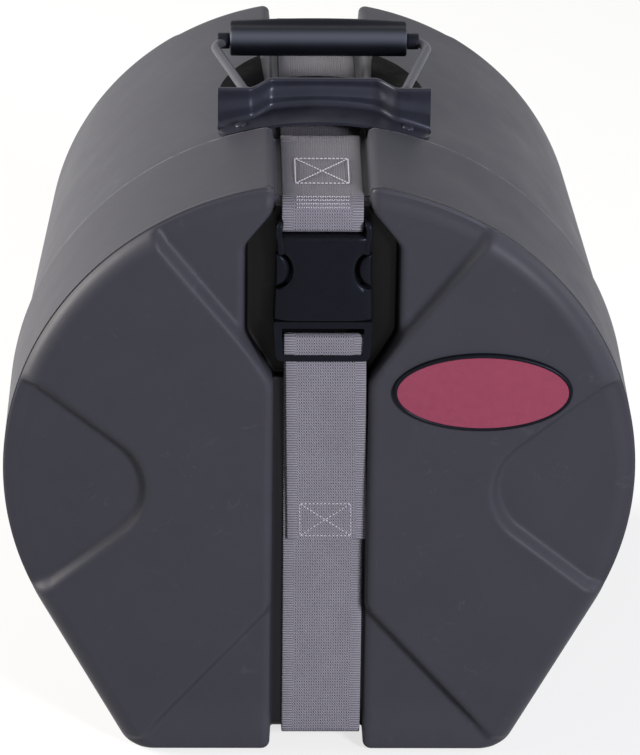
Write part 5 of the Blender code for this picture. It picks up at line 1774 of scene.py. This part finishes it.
def open_cell_foam():
    material, tree, shader = new_material("charcoal_polyurethane_foam", IOR=1.3, Roughness=0.95,
                                          Sheen_Weight=0.15)
    cells = add_node(tree, "ShaderNodeTexVoronoi", Vector=object_place(tree, 1.6), Scale=1.0)
    drift = add_node(tree, "ShaderNodeTexNoise", Vector=object_place(tree, 30.0), Scale=1.0,
                     Detail=3.0)
    # Painted shade: the cells' pits, low in the bump, are coloured darker.
    tone = add_node(tree, "ShaderNodeMix", {"data_type": "RGBA"}, Factor=cells.outputs["Distance"],
                    in_6=linear("222225"), in_7=linear("3a3a3e"))
    aged = add_node(tree, "ShaderNodeMix", {"data_type": "RGBA"}, Factor=drift.outputs[0],
                    in_6=tone.outputs[2], in_7=linear("333338"))
    bump = add_node(tree, "ShaderNodeBump", Strength=0.7, Distance=0.0005, Height=cells.outputs["Distance"])
    tree.links.new(aged.outputs[2], shader.inputs["Base Color"])
    tree.links.new(bump.outputs[0], shader.inputs["Normal"])
    return material


foam = open_cell_foam()
foam_corner, foam_rim, foam_crown = 3.0, 3.0, 1.2


def foam_slab(front, thickness, radius, floor):
    """Slab between two depths with the case's D outline. Its rim is rounded by 3 mm and both
    faces rise by a crown of 1.2 (1 - share^2) mm, share being 1 at the rim."""
    s = np.linspace(0, 4, 97)[:-1]
    half_loop = d_point(s, radius, floor, foam_corner)
    outline = np.concatenate([half_loop, half_loop[:0:-1] * np.array([-1, 1])])
    middle = np.array([0, arc_height])
    share = np.array([0.04, 0.25, 0.5, 0.75, 0.9])
    turn = np.linspace(0, math.pi / 2, 5)
    rim_share = 1 - foam_rim / radius * (1 - np.sin(turn))
    rim_depth = foam_rim * (1 - np.cos(turn))
    crown = foam_crown * (share ** 2 - 1)
    shares = np.concatenate([share, rim_share, rim_share[::-1], share[::-1]])
    back = thickness - foam_crown
    depth = np.concatenate([crown + foam_crown, rim_depth + foam_crown, back - rim_depth[::-1],
                            back - crown[::-1]])
    flat = middle + (outline[None] - middle) * shares[:, None, None]
    return fan_caps(xyz(flat[..., 0], (front + depth)[:, None], flat[..., 1]))


def curved_liner(side, thickness=12.0):
    """Foam against the tub's wall from 24 degrees below level to 66 above. Its thickness falls at
    the rims, h = t (0.35 + 0.65 sqrt(1 - (1 - e / 3)^2)) with e the distance from a rim."""
    angle = np.radians(np.linspace(-24, 66, 46))[:, None]
    y = np.concatenate([[69, 69.4, 70.2, 71.2, 72], np.linspace(84, 334, 12),
                        [345, 345.8, 346.8, 347.6, 348]])
    radius = np.array([tub_inside(case_depth - v) for v in y])[None, :] - 0.8
    from_rim = np.minimum(np.minimum(y - y[0], y[-1] - y)[None, :],
                          np.minimum(angle - angle[0], angle[-1] - angle) * 180)
    e = np.clip(from_rim / foam_rim, 0, 1)
    half = thickness / 2 * (0.35 + 0.65 * np.sqrt(1 - (1 - e) ** 2))
    middle = radius - thickness / 2
    layers = [xyz(side * r * np.cos(angle), y, arc_height + r * np.sin(angle))
              for r in (middle + half, middle - half)]
    return closed_between(*layers)


foam_pieces = [("foam_in_lid", foam_slab(23.6, 10.0, 181.5, 30.5), "lid", "lid_pad"),
               ("foam_at_back", foam_slab(336.9, 12.0, 158.5, 30.5), "base", "base_pad"),
               ("foam_liner_right", curved_liner(1), "base", "liner_right"),
               ("foam_liner_left", curved_liner(-1), "base", "liner_left")]
for name, (points, faces), body_name, node in foam_pieces:
    thing = stands_for(mesh_from(name, points, faces, foam, smooth_angle=50), body_name, node)
for name, node in nodes.items():
    if name.startswith("backing_plate"):
        node.material_slots[0].material = wire_steel
    if name.startswith("strap_rivet"):
        node.material_slots[0].material = bracket_steel
